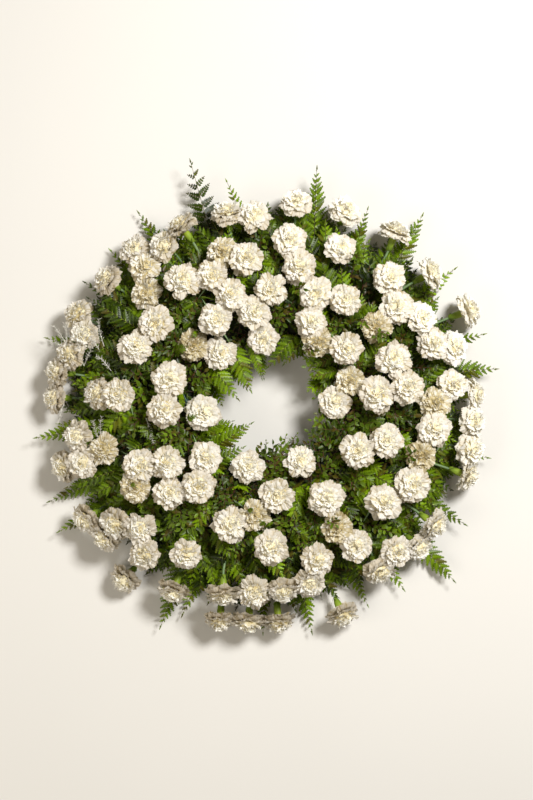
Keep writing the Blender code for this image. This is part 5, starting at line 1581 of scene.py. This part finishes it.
def foam_finish():
    """Soaked phenolic foam: dark blue-green, dull because it is full of pores."""
    material, tree, shader, place = new_finish("wet floral foam", Roughness=0.9)
    # Pores are drawn 1.1 mm across. The real ones are about 0.5 mm, too fine to show.
    pores = add_node(tree, "TexVoronoi", Vector=place, Scale=900.0)[0]
    broad = add_node(tree, "TexNoise", Vector=place, Scale=25.0, Detail=3.0)[0]
    color = add_node(tree, "ValToRGB", {"stops": ((0.35, "12302C"), (0.7, "2B4F49"))}, Fac=broad)[0]
    normal = add_node(tree, "Bump", Height=pores, Strength=0.6, Distance=0.5 * MM)[0]
    feed(tree, shader, Base_Color=color, Normal=normal)
    return material


def plastic_finish():
    """Moulded polypropylene: dark green with a fine spark-eroded grain and a satin gloss."""
    material, tree, shader, place = new_finish("moulded polypropylene", Roughness=0.42)
    # The grain is drawn 1.4 mm across. The real one is about 0.1 mm, too fine to show.
    grain = add_node(tree, "TexNoise", Vector=place, Scale=700.0, Detail=2.0)[0]
    color = add_node(tree, "ValToRGB", {"stops": ((0.35, "0F2417"), (0.7, "173321"))}, Fac=grain)[0]
    normal = add_node(tree, "Bump", Height=grain, Strength=0.2, Distance=0.2 * MM)[0]
    feed(tree, shader, Base_Color=color, Normal=normal)
    return material


def floor_finish(stage):
    """Painted studio floor: pale, even and matt, a little uneven over some 30 cm."""
    material, tree, shader, place = new_finish("matt studio paint", Roughness=0.8)
    clouds = add_node(tree, "TexNoise", Vector=place, Scale=3.0)[0]
    darker = [c * 0.97 for c in stage.floor_color]
    feed(tree, shader, Base_Color=add_node(tree, "Mix", BLEND, i0=clouds, i6=stage.floor_color, i7=darker)[2])
    return material


# The add-on's settings, operators and panel.


def color_setting(name, description, hex_color):
    """A colour that a user can change."""
    return FloatVectorProperty(
        name=name, description=description, subtype="COLOR", size=3, default=linear(hex_color), min=0, max=1
    )


class WREATH_PG_flowers(bpy.types.PropertyGroup):
    petal_edge: color_setting("Petal edge", "Colour of a petal near its edge", "FFFFFD")
    petal_heart: color_setting("Petal heart", "Colour deep in the flower, a pale yellow", "FFF6D2")
    ruffle: FloatProperty(
        name="Ruffle", description="How deep the petals' edges ruffle, as a share of the usual",
        default=1.0, min=0.2, max=2.0, subtype="FACTOR",
    )


class WREATH_PG_greens(bpy.types.PropertyGroup):
    fern_dark: color_setting("Fern, dark", "Darkest green of the fern", "101C02")
    fern_light: color_setting("Fern, light", "Lightest green of the fern", "90B40C")
    leaf_dark: color_setting("Leaf, dark", "Darkest green of the small leaves", "0E1904")
    leaf_light: color_setting("Leaf, light", "Lightest green of the small leaves", "7C9A1E")
    calyx: color_setting("Calyx", "Green of the calyx under each head", "7C9428")
    stem: color_setting("Stem", "Grey-green of the carnations' stems", "7E9468")
    twig: color_setting("Twig", "Reddish brown of the sprigs' twigs", "5E2C14")
    stalk: color_setting("Stalk", "Brown-green of the fronds' stalks", "6B6A2A")
    leaf_length: FloatProperty(
        name="Leaf length", description="Length of a small leaf on the sprigs",
        default=11.5 * MM, min=4 * MM, max=25 * MM, unit="LENGTH",
    )


class WREATH_PG_stage(bpy.types.PropertyGroup):
    floor_color: color_setting("Floor", "Colour of the studio floor", "DCDAD5")
    key_power: FloatProperty(
        name="Key light", description="Power of the main light in watts", default=118.0, min=0, max=500
    )
    fill_power: FloatProperty(
        name="Fill light", description="Power of the broad soft light in watts", default=24.0, min=0, max=500
    )


SETTINGS = {
    "wreath_flowers": WREATH_PG_flowers, "wreath_greens": WREATH_PG_greens, "wreath_stage": WREATH_PG_stage,
}

FLOOR_HALF, FLOOR_BELOW = 6.0, 0.2 * MM
KEY_PLACE, KEY_SIZE, KEY_COLOR = (1.25, 1.1, 2.55), 0.8, (1.0, 0.985, 0.965)
FILL_PLACE, FILL_SIZE, FILL_COLOR = (-1.7, -0.9, 1.9), 1.8, (1.0, 0.93, 0.82)
LIGHTS_AIM = (0, 0, 0.08)
AIR_STRENGTH, AIR_COLOR = 0.19, (1.0, 0.90, 0.74)
SENSOR_WIDTH = 36.0  # mm


def wide_light(name, place, size, power, color):
    """A round soft light of this width, aimed at the wreath."""
    data = bpy.data.lights.new(name, "AREA")
    data.shape, data.size, data.energy, data.color = "DISK", size, power, color
    obj = bpy.data.objects.new(name, data)
    bpy.context.scene.collection.objects.link(obj)
    obj.location = place
    aim = np.subtract(place, LIGHTS_AIM)
    obj.rotation_euler = (atan2(hypot(aim[0], aim[1]), aim[2]), 0, atan2(aim[0], -aim[1]))


class WREATH_OT_stage(bpy.types.Operator):
    """Sets up the pale floor, the soft lights and the camera over the wreath's face"""

    bl_idname = "wreath.stage"
    bl_label = "Studio stage"

    def execute(self, context):
        stage = context.scene.wreath_stage
        corners = [(x * FLOOR_HALF, y * FLOOR_HALF, 0) for x, y in ((-1, -1), (1, -1), (1, 1), (-1, 1))]
        mesh = bpy.data.meshes.new("studio_floor")
        mesh.from_pydata(corners, [], [(0, 1, 2, 3)])
        mesh.materials.append(floor_finish(stage))
        floor = bpy.data.objects.new("studio_floor", mesh)
        floor.location = (0, 0, -FLOOR_BELOW)
        context.scene.collection.objects.link(floor)
        wide_light("key_light", KEY_PLACE, KEY_SIZE, stage.key_power, KEY_COLOR)
        wide_light("fill_light", FILL_PLACE, FILL_SIZE, stage.fill_power, FILL_COLOR)
        world = bpy.data.worlds.new("studio_air")
        world.use_nodes = True
        air = world.node_tree
        feed(air, air.nodes["Background"], Color=AIR_COLOR, Strength=AIR_STRENGTH)
        context.scene.world = world
        context.scene.view_settings.view_transform = "Standard"
        data = bpy.data.cameras.new("photo_camera")
        data.sensor_width = SENSOR_WIDTH
        # The long side of the picture spans the sensor: its pixels at the height of the flowers' faces.
        data.lens = SENSOR_WIDTH * (VIEW_DISTANCE - FACES_HEIGHT) / (PHOTO_HEIGHT * PHOTO_PIXEL)
        camera = bpy.data.objects.new("photo_camera", data)
        camera.location = (0, VIEW_AXIS_Y, VIEW_DISTANCE)
        context.scene.collection.objects.link(camera)
        context.scene.camera = camera
        return {"FINISHED"}


class WREATH_OT_base(bpy.types.Operator):
    """Gives the tray and the foam ring their finishes"""

    bl_idname = "wreath.base"
    bl_label = "Foam and tray"

    def execute(self, context):
        for node, finish in (("foam_ring", foam_finish()), ("base_tray", plastic_finish())):
            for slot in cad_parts[node].material_slots:
                slot.material = finish
        return {"FINISHED"}


class WREATH_OT_carnations(bpy.types.Operator):
    """Makes every bunch of carnation heads, petal by petal"""

    bl_idname = "wreath.carnations"
    bl_label = "Carnation heads"

    def execute(self, context):
        flowers = context.scene.wreath_flowers
        finish = petal_finish(flowers)
        blooms = layout()[0]
        rng = np.random.default_rng(BUNCH_SEED)
        kinds, skirts = head_kinds(flowers.ruffle), skirt_kinds(flowers.ruffle)
        for number, bunch in enumerate(sorted(set(blooms.bunch)), 1):
            gathered = Gathered()
            for k in np.nonzero(blooms.bunch == bunch)[0]:
                kind = rng.integers(HEAD_KINDS)
                side, other = frame_of(blooms.axes[k], rng.uniform(0, 2 * pi))
                times, plus = head_tone(blooms, k, rng)
                shapes = [kinds[kind]] + [skirts[kind]] * (BLOOMS[k][3] > SKIRT_TILT)
                for points, faces, shades in shapes:
                    placed = in_axes(points * blooms.radii[k], blooms.centres[k], side, other, blooms.axes[k])
                    gathered.add(placed, faces, shades * times + plus)
            gathered.piece(f"petals_{number:02d}", [finish], "petals", f"carnations_{number:02d}")
        return {"FINISHED"}


class WREATH_OT_stems(bpy.types.Operator):
    """Makes the carnations' calyces and stems"""

    bl_idname = "wreath.stems"
    bl_label = "Calyces and stems"

    def execute(self, context):
        finish = stem_finish(context.scene.wreath_greens)
        blooms, stems, _, _ = layout()
        rng = np.random.default_rng(STEM_SEED)
        for sector, gathered in in_parts("stems", [finish]):
            for k, own in enumerate(stems.sectors):
                if own == sector:
                    add_stem(stems, blooms, k, gathered, rng)
        return {"FINISHED"}


class WREATH_OT_bed(bpy.types.Operator):
    """Makes the bed of packed greens over the foam, covered in short pieces of fern"""

    bl_idname = "wreath.bed"
    bl_label = "Bed of greens"

    def execute(self, context):
        greens = context.scene.wreath_greens
        finishes = [
            bed_finish(),
            leaf_finish("leatherleaf fern, low", greens.leaf_dark, greens.fern_light, 0.5, 0.75),
            bark_finish("dry brown bark", "1E130A", "54351B"),
            bark_finish("grey-green fibre", "3F5550", "7C948C"),
        ]
        for sector, gathered in in_parts("bed", finishes):
            rng = np.random.default_rng(BED_SEED + sector)
            points, faces = bed_surface(sector)
            away = np.min([np.hypot(*(points - bare)[:, :2].T) for bare in bare_points()], axis=0)
            shown = np.clip(1.6 - away / BARE_REACH, 0, 1)[:, None]
            gathered.add(points, faces, shown * (1, 0, 0))
            add_bed_leaves(gathered, sector, rng)
            add_bed_twigs(gathered, sector, rng)
            for bare in bare_points():
                if sector_of(bare) == sector:
                    add_strands(gathered, bare, rng)
        return {"FINISHED"}


class WREATH_OT_fronds(bpy.types.Operator):
    """Makes the large fern fronds and the smaller ones between the heads"""

    bl_idname = "wreath.fronds"
    bl_label = "Fern fronds"

    def execute(self, context):
        greens = context.scene.wreath_greens
        finishes = [
            leaf_finish("leatherleaf fern", greens.fern_dark, greens.fern_light, 0.36, 0.86),
            bark_finish("fern stalk", "3A2C14", greens.stalk),
        ]
        blooms, _, fronds, sprigs = layout()
        cover = Cover(blooms)
        for _, blade in fronds + sprigs:
            cover.mark(blade.all_points())
        for sector, gathered in in_parts("fronds", finishes):
            rng = np.random.default_rng(FROND_SEED + sector)
            for number, (own, blade) in enumerate(fronds):
                if own == sector:
                    over_hole = ring_radius(blade.control[3]) < TRAY_INNER
                    wide = blade.widened(HOLE_WIDER if over_hole else 1)
                    divided = number == DIVIDED_FROND
                    tone_and_shade = DIVIDED_TINT if divided else rng.uniform(0.4, 0.8)
                    add_frond(gathered, blooms, wide, rng, tone_and_shade, divided=divided)
            for row, way in rising_in(sector, HOLE_FERNS, hole_path):
                add_frond(gathered, blooms, Blade(way, row[5] * MM, 6, 0.3), rng, row[6])
            for _ in range(FILL_FRONDS):
                blade = filler_blade(rng, sector, blooms, cover, FILL_FERN)
                add_frond(gathered, blooms, blade, rng, rng.uniform(0.0, 0.8))
            for row, way in rising_in(sector, OVER_FERNS, overlay_path):
                blade, tone_and_shade = Blade(way, row[4] * MM, 6, 0.35), rng.uniform(0.3, 0.6)
                add_frond(gathered, blooms, blade, rng, tone_and_shade, OVERLAY_DROOP)
            # Fronds low at the rim get darker tones, in part a painted shade under the rim heads.
            for _ in range(BACK_FRONDS):
                blade = filler_blade(rng, sector, blooms, cover, BACK_FERN)
                add_frond(gathered, blooms, blade, rng, rng.uniform(0.0, 0.5))
        return {"FINISHED"}


class WREATH_OT_sprigs(bpy.types.Operator):
    """Makes the small-leaved sprigs that stand in the gaps"""

    bl_idname = "wreath.sprigs"
    bl_label = "Small-leaved sprigs"

    def execute(self, context):
        greens = context.scene.wreath_greens
        finishes = [
            leaf_finish("small waxy leaf", greens.leaf_dark, greens.leaf_light, 0.38, 0.78),
            bark_finish("reddish bark", "2A1A0C", greens.twig),
            # Near-white bark, partly a painted highlight of the glints on the pale twigs.
            bark_finish("pale dry twig and painted glint", "8F8C80", "E4E2DA"),
        ]
        blooms, _, _, sprigs = layout()
        cover = Cover(blooms)
        for sector, gathered in in_parts("sprigs", finishes):
            rng = np.random.default_rng(SPRIG_SEED + sector)
            for own, blade in sprigs:
                if own == sector:
                    add_sprig(gathered, blooms, blade, greens.leaf_length, rng, rng.uniform(0.2, 0.7))
            for _ in range(FILL_SPRIGS):
                blade = filler_blade(rng, sector, blooms, cover, FILL_SPRIG)
                length = rng.uniform(*FILL_LEAF)
                add_sprig(gathered, blooms, blade, length, rng, rng.uniform(0.0, 0.8))
            for row, way in rising_in(sector, HOLE_SPRIGS, hole_path):
                tone_and_shade = HOLE_TINT + rng.uniform(-0.25, 0.25)
                add_sprig(gathered, blooms, Blade(way, row[5] * MM, 3, 0.45, 1.0), HOLE_LEAF, rng, tone_and_shade)
            for row, way in rising_in(sector, HOLE_TWIGS, drawn_path):
                gathered.add(*tube(way, np.linspace(1, 0.6, 9) * row[6] * MM, 4), (0.5, 0.5, 0.5), 1)
                add_leafy_twig(gathered, blooms, way[5:], HOLE_TWIG_LEAF, rng, 1.0, first=0.3)
            for _, way in rising_in(sector, PALE_TWIGS, lambda row: drawn_path(row, 13)):
                add_pale_twig(gathered, way, rng)
            for row, way in rising_in(sector, SHOWN_LEAVES, drawn_path):
                across = unit(np.cross(way[-1] - way[0], (0, 0, 1)))
                add_ribbon(gathered, way, across, row[6] * MM, (1.0, 1.0, 0.4))
            for row, way in rising_in(sector, OVER_SPRIGS, overlay_path):
                blade, tone_and_shade = Blade(way, row[4] * MM, 2, 0.5, 1.0), rng.uniform(0.5, 0.8)
                add_sprig(gathered, blooms, blade, greens.leaf_length, rng, tone_and_shade)
        return {"FINISHED"}


STEPS = ("stage", "base", "bed", "stems", "fronds", "sprigs", "carnations")


class WREATH_PT_panel(bpy.types.Panel):
    bl_label = "Funeral wreath"
    bl_idname = "WREATH_PT_panel"
    bl_space_type = "VIEW_3D"
    bl_region_type = "UI"
    bl_category = "Wreath"

    def draw(self, context):
        for step in STEPS:
            self.layout.operator("wreath." + step)
        for group in SETTINGS:
            settings = getattr(context.scene, group)
            for name in settings.__annotations__:
                self.layout.prop(settings, name)


CLASSES = (
    *SETTINGS.values(), WREATH_OT_stage, WREATH_OT_base, WREATH_OT_bed, WREATH_OT_stems, WREATH_OT_fronds,
    WREATH_OT_sprigs, WREATH_OT_carnations, WREATH_PT_panel,
)


def register():
    for made in CLASSES:
        bpy.utils.register_class(made)
    for name, group in SETTINGS.items():
        setattr(bpy.types.Scene, name, PointerProperty(type=group))


def unregister():
    for name in SETTINGS:
        delattr(bpy.types.Scene, name)
    for made in reversed(CLASSES):
        bpy.utils.unregister_class(made)


def main():
    register()
    for step in STEPS:
        getattr(bpy.ops.wreath, step)()
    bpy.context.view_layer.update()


if __name__ == "__main__":
    main()
